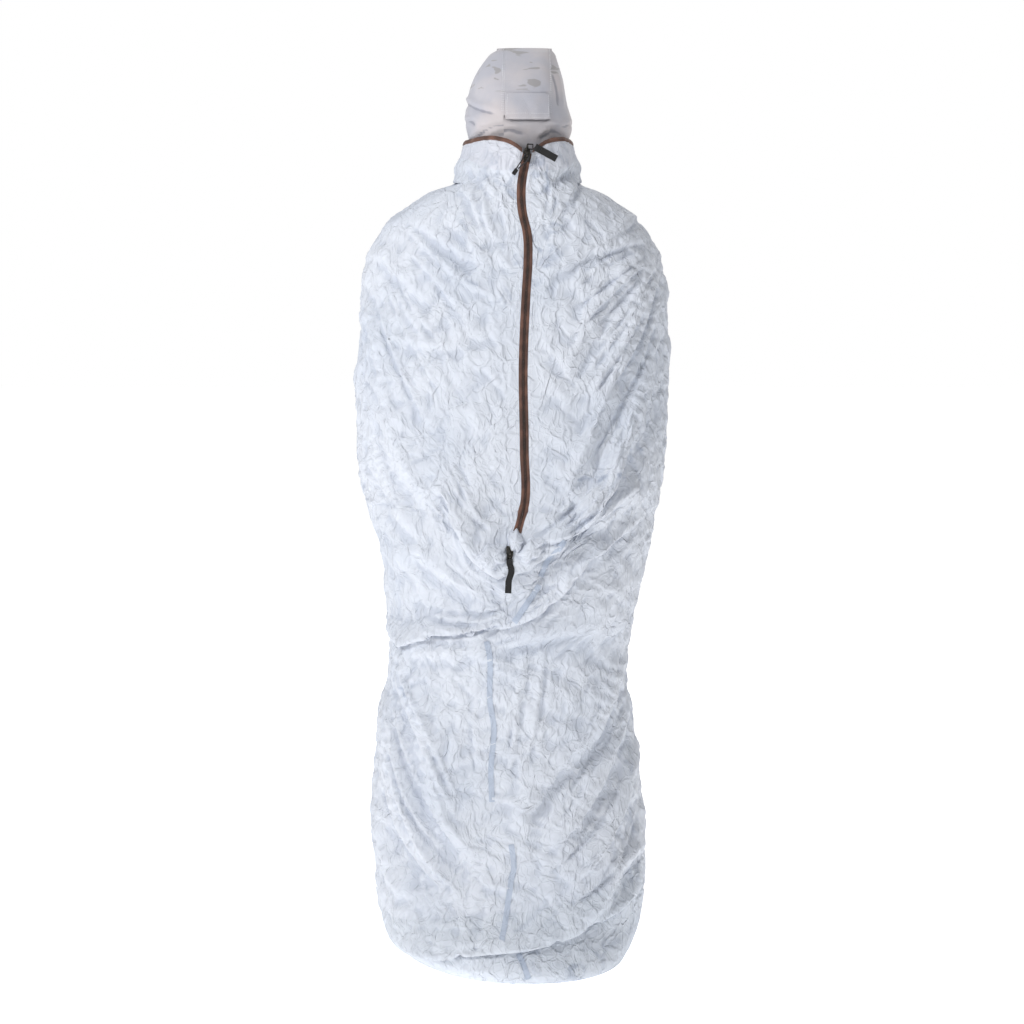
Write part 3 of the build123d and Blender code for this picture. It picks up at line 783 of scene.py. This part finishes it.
# Plan sections of the hood: height, leftmost x, rightmost x, front y, back y
HOOD = np.array([
    (1.585, -0.074, 0.098, -0.102, 0.086),
    (1.620, -0.082, 0.106, -0.108, 0.092),
    (1.655, -0.090, 0.117, -0.112, 0.102),
    (1.700, -0.084, 0.106, -0.110, 0.108),
    (1.745, -0.073, 0.099, -0.098, 0.096),
    (1.780, -0.052, 0.088, -0.070, 0.070),
    (1.794, -0.040, 0.083, -0.050, 0.050),
    (1.800, -0.030, 0.078, -0.034, 0.036),
])
CROWN = (-0.016, 0.073)   # the crown panel's seams, as x
HOOD_SKIRT_Z, SLIT_Z, BRIM_Z, HOOD_TOP_Z = 1.612, 1.668, 1.712, 1.800
CROWN_COLUMNS, SIDE_COLUMNS = 24, 30
HOOD_ROWS = 58
HOOD_FOLDS = [
    # front
    (-1, [(-0.090, 1.712), (-0.062, 1.690), (-0.022, 1.678)], 0.007, 0.0032),
    (-1, [(-0.096, 1.672), (-0.070, 1.664), (-0.066, 1.645), (-0.090, 1.618)], 0.006, 0.0036),
    (-1, [(-0.072, 1.632), (-0.046, 1.652), (0.004, 1.662)], 0.006, 0.0028),
    (-1, [(-0.050, 1.628), (-0.010, 1.650), (0.030, 1.640)], 0.007, 0.0024),
    (-1, [(0.118, 1.668), (0.092, 1.654), (0.060, 1.656)], 0.006, 0.003),
    (-1, [(0.108, 1.640), (0.076, 1.646), (0.044, 1.628)], 0.006, 0.0024),
    (-1, [(0.082, 1.760), (0.094, 1.720), (0.098, 1.680)], 0.006, 0.0024),
    # back
    (1, [(-0.070, 1.650), (0.010, 1.640), (0.090, 1.654)], 0.008, 0.003),
    (1, [(-0.060, 1.690), (0.020, 1.672), (0.085, 1.700)], 0.008, 0.0026),
]


def hood_angles(height):
    """Angles of the crown panel's seams at a height, round from the front left one and back to it."""
    left, right = smooth_table(HOOD, np.array([height]))[0, :2]
    corners = []
    for x in CROWN:
        across = (x - (left + right) / 2) / ((right - left) / 2)
        corners.append(math.acos(math.copysign(abs(across) ** (HOOD_ROUNDNESS / 2), across)))
    left_seam, right_seam = corners
    return [-left_seam, -right_seam, right_seam, left_seam, math.tau - left_seam]


def hood_grid():
    """Points of the hood by row, top to bottom, and column, starting at the front left crown seam."""
    counts = (CROWN_COLUMNS, SIDE_COLUMNS, CROWN_COLUMNS, SIDE_COLUMNS)
    rows = []
    for height in np.linspace(HOOD_TOP_Z, HOOD[0, 0], HOOD_ROWS):
        seams = hood_angles(height)
        spans = zip(seams[:-1], seams[1:], counts)
        angle = np.concatenate([np.linspace(*span, endpoint=False) for span in spans] + [seams[-1:]])
        sides = smooth_table(HOOD, np.array([height]))[0]
        x, y = section_point(sides, np.cos(angle), np.sin(angle), HOOD_ROUNDNESS)
        rows.append(np.stack([x, y, 0 * x + height], axis=1))
    points = np.array(rows)
    rise = HOOD_FOLD_DEPTH * drawn_rise(HOOD_FOLDS, *np.moveaxis(points, -1, 0))
    shape = points.shape[:2]
    rise += 0.0007 * np.abs(streaks(shape, 5, 3, 0.5, 51)) + 0.0012 * streaks(shape, 11, 9, 0, 52)
    rise *= ease((HOOD_TOP_Z - points[..., 2]) / 0.02)
    points += outward(points) * (rise - 0.001)[..., None]
    points[:, -1] = points[:, 0]
    return points


def lid_rows(edge):
    """Rows that close the top of the hood, from its rim in to the line across its middle."""
    middle_y = (HOOD[-1, 3] + HOOD[-1, 4]) / 2
    rows = []
    for share in (0.0, 0.25, 0.5, 0.72, 0.9):
        row = edge.copy()
        row[:, 1] = middle_y + (edge[:, 1] - middle_y) * share
        row[:, 2] = HOOD_TOP_Z + 0.0035 * (1 - share ** 2)
        rows.append(row)
    return np.array(rows)


def build_hood(cloth, thread):
    """Crown, sides, veil, tucked skirt and brim of the hood, with their stitched seams."""
    points = hood_grid()
    heights = points[:, 0, 2]
    slit, skirt = int(np.argmax(heights <= SLIT_Z)), int(np.argmax(heights <= HOOD_SKIRT_Z))
    seams = np.cumsum([0, CROWN_COLUMNS, SIDE_COLUMNS, CROWN_COLUMNS, SIDE_COLUMNS])
    front, right, back, left = (slice(start, end + 1) for start, end in zip(seams[:-1], seams[1:]))

    def piece(name, grid, node, flat):
        """One panel of the hood, hiding the CAD part it stands for."""
        # depth in a hollow, for the painted shade of the hood cloth
        hollow = np.clip(0.5 + 0.5 * inward(grid, (1, 2)) / 0.0012, 0, 1)
        item = cloth_piece(name, grid, hollow, cloth, HOOD_THICK, "hood")
        declare_sheet(item, node, flat)

    front_lid, back_lid = lid_rows(points[0, front]), lid_rows(points[0, back])
    crown = np.concatenate([points[:skirt + 1, back][::-1, ::-1], back_lid[1:][::-1, ::-1],
                            front_lid, points[:slit + 1, front]])
    piece("hood_crown_panel", crown, ["hood_crown"], (0.095, 0.43))
    for word, columns, flat in (("right", right, (0.20, 0.19)), ("left", left, (0.26, 0.21))):
        grid = np.concatenate([lid_rows(points[0, columns]), points[:skirt + 1, columns]])
        piece("hood_panel_" + word, grid, ["hood_side_" + word], flat)
    veil = points[slit - 1:skirt + 1, front].copy()
    inside = np.minimum(np.arange(CROWN_COLUMNS + 1), np.arange(CROWN_COLUMNS + 1)[::-1])
    veil[..., 1] += 0.010 * ease((veil[..., 2] - 1.654) / 0.013) * ease(inside / 3)
    piece("hood_veil", veil, ["face_veil"], (0.095, 0.065))
    piece("hood_lower_edge", points[skirt:], ["hood_skirt"], (0.60, 0.035))
    build_brim(points, front, heights, cloth, thread)
    rows = (("front_left", seams[0], slit), ("front_right", seams[1], slit),
            ("back_right", seams[2], skirt), ("back_left", seams[3], skirt))
    for name, column, low in rows:
        for number, aside in enumerate((1, -1)):
            beside = column + aside if column + aside >= 0 else -2
            row = points[:low, column] * 0.72 + points[:low, beside] * 0.28
            lifted = row + outward(points)[:low, column] * 0.0006
            stitches(f"hood_stitch_{name}_{number + 1}", lifted, thread, "hood")


def build_brim(points, front, heights, cloth, thread):
    """Stiffened flap over the eye slit, hinged along its top seam."""
    top, low = int(np.argmax(heights <= BRIM_Z)), int(np.argmax(heights <= SLIT_Z - 0.004))
    grid = points[top:low + 1, front].copy()
    out = outward(points)[top:low + 1, front]
    down = ((grid[..., 2] - BRIM_Z) / (SLIT_Z - BRIM_Z))[..., None]
    grid += out * (0.0020 + 0.0032 * down)
    brim = cloth_piece("hood_brim_flap", grid[:, 1:-1], None, cloth, BRIM_THICK, "brim")
    edge = brim.modifiers.new("Soft edge", "BEVEL")
    edge.width = 0.0004
    edge.segments = 2
    edge.limit_method = "ANGLE"
    select_only(brim)
    bpy.ops.object.modifier_apply(modifier="Soft edge")
    declare_sheet(brim, ["hood_brim"], (0.088, 0.048))
    lifted = grid + out * 0.0005
    for number, row in enumerate((-2, -4)):
        stitches(f"brim_stitch_{number + 1}", lifted[row, 2:-2], thread, "brim")
    for number, column in enumerate((2, -3)):
        stitches(f"brim_side_stitch_{number + 1}", lifted[1:-1, column], thread, "brim")


# ---- pulls -------------------------------------------------------------------------------------------

ZIP_TOP = Vector((0.028, -0.156, 1.592))
ZIP_BOTTOM = Vector((-0.004, -0.248, 0.856))
# Route of the cord loop from the upper slider, across and up from the zip's top, in mm
UPPER_ROUTE = [(-18.9, -27.0), (-13.6, -18.0), (-8.0, -9.0), (-5.5, -1.6), (-2.6, 0.35), (2.4, 0.0),
               (4.9, -3.6), (1.2, -11.0), (-7.0, -19.0), (-15.7, -27.0)]
PULL_LIFT = 0.0048        # height of the pulls off the zip's line


def zip_axes():
    """Across, up and out directions of the zip's straight line."""
    up = (ZIP_TOP - ZIP_BOTTOM).normalized()
    across = (Vector((1, 0, 0)) - up * up.x).normalized()
    return across, up, across.cross(up)


def on_zip(origin, across, up, out):
    """Point given across, up and out from a point on the zip."""
    directions = zip_axes()
    return origin + directions[0] * across + directions[1] * up + directions[2] * out


def cord_loop(material):
    """Thin cord loop of the upper slider, closed by its moulded end."""
    curve = bpy.data.curves.new("pull_cord", "CURVE")
    curve.dimensions = "3D"
    curve.bevel_depth = 0.0011
    curve.bevel_resolution = 4
    curve.resolution_u = 12
    curve.use_fill_caps = True
    spline = curve.splines.new("NURBS")
    route = [on_zip(ZIP_TOP, x / 1000, y / 1000, PULL_LIFT) for x, y in UPPER_ROUTE]
    spline.points.add(len(route) - 1)
    for point, place in zip(spline.points, route):
        point.co = (*place, 1)
    spline.order_u = 3
    spline.use_endpoint_u = True
    item = bpy.data.objects.new("pull_cord", curve)
    bpy.context.collection.objects.link(item)
    curve.materials.append(material)
    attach(item, "upper_pull")
    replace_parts(item, "upper_pull_cord")
    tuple(route[0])


def webbing_tab(name, node, start, along, across, length, width, body, cloth, thread, sway=0.0):
    """Folded webbing tab: round the bail at its start, doubled, and sewn through both layers."""
    out = across.cross(along).normalized()
    if out.y > 0:
        out.negate()
    lower = [(length * part, -0.00065) for part in (1.0, 0.8, 0.6, 0.4, 0.25, 0.12)]
    bend = [(0.004, -0.0010), (0.0, -0.0019), (-0.0026, -0.0012), (-0.0034, 0.0), (-0.0026, 0.0012),
            (0.0, 0.0019), (0.004, 0.0010)]
    upper = [(length * part, 0.00065) for part in (0.12, 0.25, 0.4, 0.6, 0.8, 1.0)]
    rows = []
    for far, lift in lower + bend + upper:
        wave = sway * math.exp(-((far / length - 0.32) / 0.16) ** 2)
        centre = start + along * far + out * lift + across * wave
        rows.append([centre + across * width * side for side in (-0.5, -0.46, -0.25, 0, 0.25, 0.46, 0.5)])
    grid = np.array([[tuple(p) for p in row] for row in rows])
    for axis in (0, 1):
        grid = doubled(grid, axis, False)
    item = cloth_piece(name, grid, None, cloth, 0.0010, body)
    turn_outward(item.data)
    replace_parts(item, node)
    for number, part in enumerate((0.16, 0.24, 0.93)):
        centre = start + along * length * part + out * 0.0019
        row = [tuple(centre + across * width * side) for side in np.linspace(-0.4, 0.4, 5)]
        stitches(f"{name}_bartack_{number + 1}", row, thread, body, 0.0014, 0.0013, 0.0005)


def build_pulls(webbing, cord, thread):
    """Webbing tabs and the cord pull."""
    cord_loop(cord)
    across, up, out = zip_axes()
    slope, lift = math.radians(27), math.radians(4)
    start = on_zip(ZIP_TOP, 0.0142, 0.0145, 0.0054)
    sloping = across * math.cos(slope) - up * math.sin(slope)
    along = sloping * math.cos(lift) + out * math.sin(lift)
    aside = (across * math.sin(slope) + up * math.cos(slope)).normalized()
    webbing_tab("side_webbing", "side_pull_tab", start + along * 0.003, along, aside, 0.043, 0.013,
                "side_pull", webbing, thread)
    start = on_zip(ZIP_BOTTOM, 0, -0.0150, PULL_LIFT)
    webbing_tab("lower_webbing", "lower_pull_tab", start, -up, across, 0.061, 0.012, "lower_pull",
                webbing, thread, 0.0050)


# Gathered puffs round the lower slider: name, middle (x, height), half width, half height, turn, lift
PUFFS = [
    ("gather_left", (-0.036, 0.850), 0.030, 0.022, 0.50, 0.021),
    ("gather_middle", (0.007, 0.877), 0.015, 0.021, 0.05, 0.019),
    ("gather_right", (0.037, 0.862), 0.030, 0.018, 0.75, 0.017),
]


def puff_point(tree, puff, number, radius, angle):
    """Point of a puff's creased dome at a share of its radius and an angle round it."""
    _, (x, z), wide, tall, turn, lift = puff
    pinch = 1 + 0.10 * math.sin(5 * angle + number) + 0.07 * math.sin(9 * angle + 2 * number)
    across = radius * wide * math.cos(angle) * pinch
    along = radius * tall * math.sin(angle) * pinch
    px = x + across * math.cos(turn) - along * math.sin(turn)
    pz = z + across * math.sin(turn) + along * math.cos(turn)
    crease = 0.0045 * radius * abs(math.sin(4 * angle + number)) - 0.002
    dome = lift * max(1 - radius ** 2.4, 0) ** 0.7 + crease * (1 - radius ** 4) - 0.003 * radius ** 3
    return tuple(front_of(tree, px, pz, 0) + Vector((0, -dome, 0)))


def build_gather(tree, cloth):
    """Small puffs of cloth pinched up round the lower slider."""
    for number, item in enumerate(PUFFS):
        name, _, wide, tall, _, _ = item
        points = np.array([[puff_point(tree, item, number, radius, angle)
                            for angle in np.linspace(0, -math.tau, 49)]
                           for radius in np.linspace(0.02, 1, 14)])
        points[:, -1] = points[:, 0]
        if outward(points)[4:-2, :, 1].mean() > 0:
            points = points[:, ::-1]
        points[:, :, 1] = blurred(points[:, :, 1], (1,))
        puff = cloth_piece(name, points, None, cloth, CLOTH_THICK)
        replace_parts(puff, "waist_gather")


# ---- materials -----------------------------------------------------------------------------------------

SMOOTH = {"interpolation_type": "SMOOTHSTEP"}
COLOURS = {"data_type": "RGBA"}
VECTORS = {"data_type": "VECTOR"}
TIMES = {"operation": "MULTIPLY"}
SLANTING = {"bands_direction": "DIAGONAL"}


def tone(code):
    """Linear colour of an sRGB hex code."""
    parts = [int(code[k:k + 2], 16) / 255 for k in (1, 3, 5)]
    return (*[p / 12.92 if p <= 0.04045 else ((p + 0.055) / 1.055) ** 2.4 for p in parts], 1)


def per_metre(size):
    """Pattern scale that repeats about every size millimetres."""
    return 1000 / size


def blank(name, roughness):
    """New material and its shader."""
    material = bpy.data.materials.new(name)
    material.use_nodes = True
    shader = material.node_tree.nodes["Principled BSDF"]
    shader.inputs["Roughness"].default_value = roughness
    return material, shader


def add(material, kind, settings=None, out=0, **values):
    """Output of a new node with its settings; values are its inputs' values, or sockets joined to them."""
    tree = material.node_tree
    node = tree.nodes.new("ShaderNode" + kind)
    for name, setting in (settings or {}).items():
        setattr(node, name, setting)
    sockets = {socket.identifier.replace(" ", "_"): socket for socket in node.inputs}
    for name, value in values.items():
        if isinstance(value, bpy.types.NodeSocket):
            tree.links.new(value, sockets[name])
        else:
            sockets[name].default_value = value
    return node.outputs[out]


def crease_relief(material, place, creased):
    """Network of fine creases, drawn out along the cloth, with the weave on top."""
    squeezed = add(material, "Mapping", Vector=place, Scale=(1.0, 1.0, 0.62), Rotation=(0.0, 0.35, 0.0))
    bent = add(material, "TexNoise", out="Color", Vector=place, Scale=per_metre(71.4), Detail=2.0)
    moved = add(material, "Mix", VECTORS, 1, Factor_Float=0.06, A_Vector=squeezed, B_Vector=bent)
    relief = None
    for apart, depth in ((29.41, 0.0017), (12.82, 0.0007)):
        gaps = add(material, "TexVoronoi", {"feature": "DISTANCE_TO_EDGE"}, Vector=moved,
                   Scale=per_metre(apart))
        ridge = add(material, "MapRange", SMOOTH, Value=gaps, From_Min=0.0, From_Max=0.16)
        values = {"Height": ridge, "Distance": depth * creased, "Strength": 0.9}
        if relief is not None:
            values["Normal"] = relief
        relief = add(material, "Bump", {"invert": True}, **values)
    # the real threads are finer than this, but too fine to show
    threads = add(material, "TexNoise", Vector=place, Scale=per_metre(1.111), Detail=1.0)
    return add(material, "Bump", Height=threads, Distance=0.00012, Strength=0.5, Normal=relief)


def nylon(name, light, stain, spot_and_shade, creased):
    """Thin crumpled nylon taffeta: half-matt, softly stained, with painted shade in its hollows, creased all
    over.
    """
    material, shader = blank(name, 0.62)
    links = material.node_tree.links
    place = add(material, "TexCoord", out="Object")
    wash = add(material, "TexNoise", Vector=place, Scale=per_metre(200), Detail=3.0)
    wash = add(material, "MapRange", SMOOTH, Value=wash, From_Min=0.4, From_Max=0.75, To_Max=0.55)
    washed = add(material, "Mix", COLOURS, 2, Factor_Float=wash, A_Color=tone(light), B_Color=tone(stain))
    # broad stains, broken up into small spots
    large = add(material, "TexNoise", Vector=place, Scale=per_metre(294.1), Detail=5.0, Distortion=0.6)
    large = add(material, "MapRange", SMOOTH, Value=large, From_Min=0.52, From_Max=0.72, To_Max=0.85)
    small = add(material, "TexNoise", Vector=place, Scale=per_metre(38.46), Detail=4.0, Distortion=1.2)
    small = add(material, "MapRange", SMOOTH, Value=small, From_Min=0.50, From_Max=0.72)
    spots = add(material, "Math", TIMES, Value=large, Value_001=small)
    spotted = add(material, "Mix", COLOURS, 2, Factor_Float=spots, A_Color=washed, B_Color=tone(spot_and_shade))
    # painted shade: the colour darkens towards the spot and shade colour where the cloth lies deep in a
    # hollow
    hollow = add(material, "Attribute", {"attribute_name": "hollow"}, "Fac")
    deep = add(material, "MapRange", SMOOTH, Value=hollow, From_Min=0.50, From_Max=1.0, To_Max=0.24)
    shaded = add(material, "Mix", COLOURS, 2, Factor_Float=deep, A_Color=spotted, B_Color=tone(spot_and_shade))
    links.new(shaded, shader.inputs["Base Color"])
    links.new(crease_relief(material, place, creased), shader.inputs["Normal"])
    shader.inputs["Sheen Weight"].default_value = 0.15
    shader.inputs["Sheen Roughness"].default_value = 0.45
    return material


def hood_fabric():
    """Brushed cotton-nylon twill: matt and slightly fuzzy, warm grey with a few faint printed blotches and
    painted shade in its hollows.
    """
    material, shader = blank("hood cotton-nylon", 0.80)
    links = material.node_tree.links
    place = add(material, "TexCoord", out="Object")
    wash = add(material, "TexNoise", Vector=place, Scale=per_metre(111.1), Detail=4.0)
    wash = add(material, "MapRange", SMOOTH, Value=wash, From_Min=0.38, From_Max=0.68)
    washed = add(material, "Mix", COLOURS, 2, Factor_Float=wash, A_Color=tone("#c8c2c4"),
                 B_Color=tone("#b2b3bd"))
    # printed blotches, only above the brim's lower edge
    flat = add(material, "Mapping", Vector=place, Scale=(0.7, 0.7, 2.0), Rotation=(0.0, 0.4, 0.0))
    blotch = add(material, "TexNoise", Vector=flat, Scale=per_metre(29.41), Detail=1.5, Distortion=0.8)
    blotch = add(material, "MapRange", SMOOTH, Value=blotch, From_Min=0.63, From_Max=0.66, To_Max=0.75)
    height = add(material, "SeparateXYZ", out="Z", Vector=place)
    height = add(material, "MapRange", SMOOTH, Value=height, From_Min=1.705, From_Max=1.725)
    print_share = add(material, "Math", TIMES, Value=blotch, Value_001=height)
    printed = add(material, "Mix", COLOURS, 2, Factor_Float=print_share, A_Color=washed,
                  B_Color=tone("#989595"))
    # painted shade: darker blue-grey where the hood cloth lies deep in a hollow
    hollow = add(material, "Attribute", {"attribute_name": "hollow"}, "Fac")
    deep = add(material, "MapRange", SMOOTH, Value=hollow, From_Min=0.52, From_Max=1.0, To_Max=0.6)
    shaded = add(material, "Mix", COLOURS, 2, Factor_Float=deep, A_Color=printed, B_Color=tone("#777987"))
    links.new(shaded, shader.inputs["Base Color"])
    folds = add(material, "TexNoise", Vector=place, Scale=per_metre(16.67), Detail=3.0, Distortion=0.5)
    folds = add(material, "Bump", Height=folds, Distance=0.0012, Strength=0.5)
    twill = add(material, "TexWave", SLANTING, "Fac", Vector=place, Scale=per_metre(2.381), Distortion=1.0)
    weave = add(material, "Bump", Height=twill, Distance=0.00015, Strength=0.5, Normal=folds)
    links.new(weave, shader.inputs["Normal"])
    shader.inputs["Sheen Weight"].default_value = 0.25
    return material


def woven(name, dark, light, roughness, rib, depth):
    """Woven tape, webbing or thread: matt ribs across, small colour change, slight fuzz."""
    material, shader = blank(name, roughness)
    links = material.node_tree.links
    place = add(material, "TexCoord", out="Object")
    worn = add(material, "TexNoise", Vector=place, Scale=per_metre(22.22), Detail=4.0)
    worn = add(material, "MapRange", SMOOTH, Value=worn, From_Min=0.35, From_Max=0.7)
    colour = add(material, "Mix", COLOURS, 2, Factor_Float=worn, A_Color=tone(dark), B_Color=tone(light))
    links.new(colour, shader.inputs["Base Color"])
    ribs = add(material, "TexWave", SLANTING, "Fac", Vector=place, Scale=per_metre(rib), Distortion=0.6)
    relief = add(material, "Bump", Height=ribs, Distance=depth, Strength=0.7)
    links.new(relief, shader.inputs["Normal"])
    shader.inputs["Sheen Weight"].default_value = 0.2
    return material


def hard(name, dark, light, roughness, metallic):
    """Plated metal or moulded rubber: smooth, with small scuffs that catch the light."""
    material, shader = blank(name, roughness)
    links = material.node_tree.links
    place = add(material, "TexCoord", out="Object")
    scuffs = add(material, "TexNoise", Vector=place, Scale=per_metre(3.125), Detail=5.0, Distortion=0.4)
    worn = add(material, "MapRange", SMOOTH, Value=scuffs, From_Min=0.5, From_Max=0.72)
    colour = add(material, "Mix", COLOURS, 2, Factor_Float=worn, A_Color=tone(dark), B_Color=tone(light))
    links.new(colour, shader.inputs["Base Color"])
    rubbed = add(material, "MapRange", SMOOTH, Value=scuffs, From_Min=0.3, From_Max=0.7,
                 To_Min=roughness - 0.08, To_Max=roughness + 0.15)
    links.new(rubbed, shader.inputs["Roughness"])
    links.new(add(material, "Bump", Height=scuffs, Distance=0.0001, Strength=0.4), shader.inputs["Normal"])
    shader.inputs["Metallic"].default_value = metallic
    return material


def paint(node, material):
    """Give a CAD part its material."""
    slots = bpy.data.objects[node].material_slots
    for slot in slots:
        slot.material = material
    if not slots:
        bpy.data.objects[node].data.materials.append(material)


# ---- stage ---------------------------------------------------------------------------------------------

CAMERA_PLACE = (0, -3.3, 1.398)
CAMERA_TILT = 8.66        # degrees down
CAMERA_LENS = 58.1


def build_camera():
    """Camera at about chest height in front, looking a little down."""
    camera = bpy.data.cameras.new("camera")
    camera.lens = CAMERA_LENS
    item = bpy.data.objects.new("camera", camera)
    bpy.context.collection.objects.link(item)
    item.location = CAMERA_PLACE
    item.rotation_euler = (math.radians(90 - CAMERA_TILT), 0, 0)
    bpy.context.scene.camera = item


def area_light(name, place, target, size, power):
    """Soft square light that faces its target."""
    light = bpy.data.lights.new(name, "AREA")
    light.size = size
    light.energy = power
    item = bpy.data.objects.new(name, light)
    bpy.context.collection.objects.link(item)
    item.location = place
    item.rotation_euler = (Vector(target) - Vector(place)).to_track_quat("-Z", "Y").to_euler()


def build_stage():
    """White floor, white surroundings and soft studio lights."""
    bpy.context.scene.view_settings.view_transform = "Standard"
    area_light("key", (-2.4, -2.2, 2.6), (0, 0, 0.9), 1.0, 66)
    area_light("fill", (2.6, -2.6, 1.4), (0, 0, 0.9), 2.4, 8)
    area_light("overhead", (0, 0, 4.2), (0, 0, 0), 4.0, 46)
    area_light("behind", (0.8, 2.8, 2.4), (0, 0, 0.8), 2.0, 20)
    bpy.ops.mesh.primitive_plane_add(size=30, location=(0, 0, 0))
    floor = bpy.context.object
    floor.name = "floor"
    paper, shader = blank("white studio paper", 0.9)
    place = add(paper, "TexCoord", out="Object")
    grain = add(paper, "TexNoise", Vector=place, Scale=per_metre(16.67), Detail=3.0)
    grain = add(paper, "MapRange", SMOOTH, Value=grain, From_Min=0.3, From_Max=0.7)
    colour = add(paper, "Mix", COLOURS, 2, Factor_Float=grain, A_Color=tone("#fbfbfb"),
                 B_Color=tone("#ffffff"))
    paper.node_tree.links.new(colour, shader.inputs["Base Color"])
    shader.inputs["Emission Color"].default_value = (1, 1, 1, 1)
    shader.inputs["Emission Strength"].default_value = 0.80
    floor.data.materials.append(paper)
    world = bpy.data.worlds.new("white surroundings")
    bpy.context.scene.world = world
    world.use_nodes = True
    background = world.node_tree.nodes["Background"]
    background.inputs["Color"].default_value = (1, 1, 1, 1)
    # full white where it is seen, dimmer as a light
    seen = add(world, "LightPath", out="Is Camera Ray")
    strength = add(world, "MapRange", Value=seen, To_Min=WORLD_LIGHT)
    world.node_tree.links.new(strength, background.inputs["Strength"])


def build_all():
    """The whole object, piece by piece."""
    suit_nylon = nylon("white suit nylon", "#d3d8e2", "#c1c9d7", "#8a96ac", 1.0)
    foot_nylon = nylon("white foot nylon", "#d2d8e2", "#c0c8d5", "#8a96ac", 1.2)
    collar_nylon = nylon("white collar nylon", "#cfd2dc", "#bfc5d3", "#8f99ad", 0.8)
    cloths = {"suit_cloth": suit_nylon, "foot_cloth": foot_nylon, "collar_cloth": collar_nylon}
    hood_cloth = hood_fabric()
    zip_brown = woven("brown zip tape", "#4f352c", "#6f4d3f", 0.75, 3.846, 0.0002)
    coil_brown = woven("dark brown nylon coil", "#33221b", "#4d342a", 0.5, 3.333, 0.0001)
    seam_grey = nylon("blue-grey seam tape", "#b3bdce", "#a9b5c9", "#8796b0", 0.7)
    black_web = woven("black nylon webbing", "#08080a", "#141418", 0.75, 4.167, 0.0003)
    thread = woven("white sewing thread", "#e8eaee", "#f6f7f9", 0.7, 2.0, 0.0001)
    black_thread = woven("black sewing thread", "#202026", "#34343c", 0.6, 2.0, 0.0001)
    black_cord = woven("black braided cord", "#0d0d10", "#202027", 0.7, 2.632, 0.0002)
    rubber = hard("black moulded rubber", "#0e0e10", "#1d1d20", 0.55, 0.0)
    gunmetal = hard("gunmetal zip slider", "#4d4b48", "#8a8781", 0.34, 1.0)
    wire = hard("dark steel wire", "#3b3a39", "#6b6a68", 0.3, 1.0)

    points, marks = settled_suit()
    points, hollow = crumpled(points, 0.001)
    build_panels(points, hollow, marks, cloths)
    tree = surface_tree(points)
    for name, node, route in SEAM_TAPES:
        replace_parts(seam_tape(name, tree, route, seam_grey), node)
    build_gather(tree, suit_nylon)
    build_zip(points, marks, zip_brown, coil_brown, thread)
    collar_tapes(points, zip_brown, thread)
    build_hood(hood_cloth, thread)
    build_pulls(black_web, black_cord, black_thread)
    for node in ("upper_slider", "lower_slider", "zip_bottom_stop"):
        paint(node, gunmetal)
    for node in ("side_pull_bail", "lower_pull_bail"):
        paint(node, wire)
    paint("upper_pull_end", rubber)


build_camera()
build_all()
build_stage()
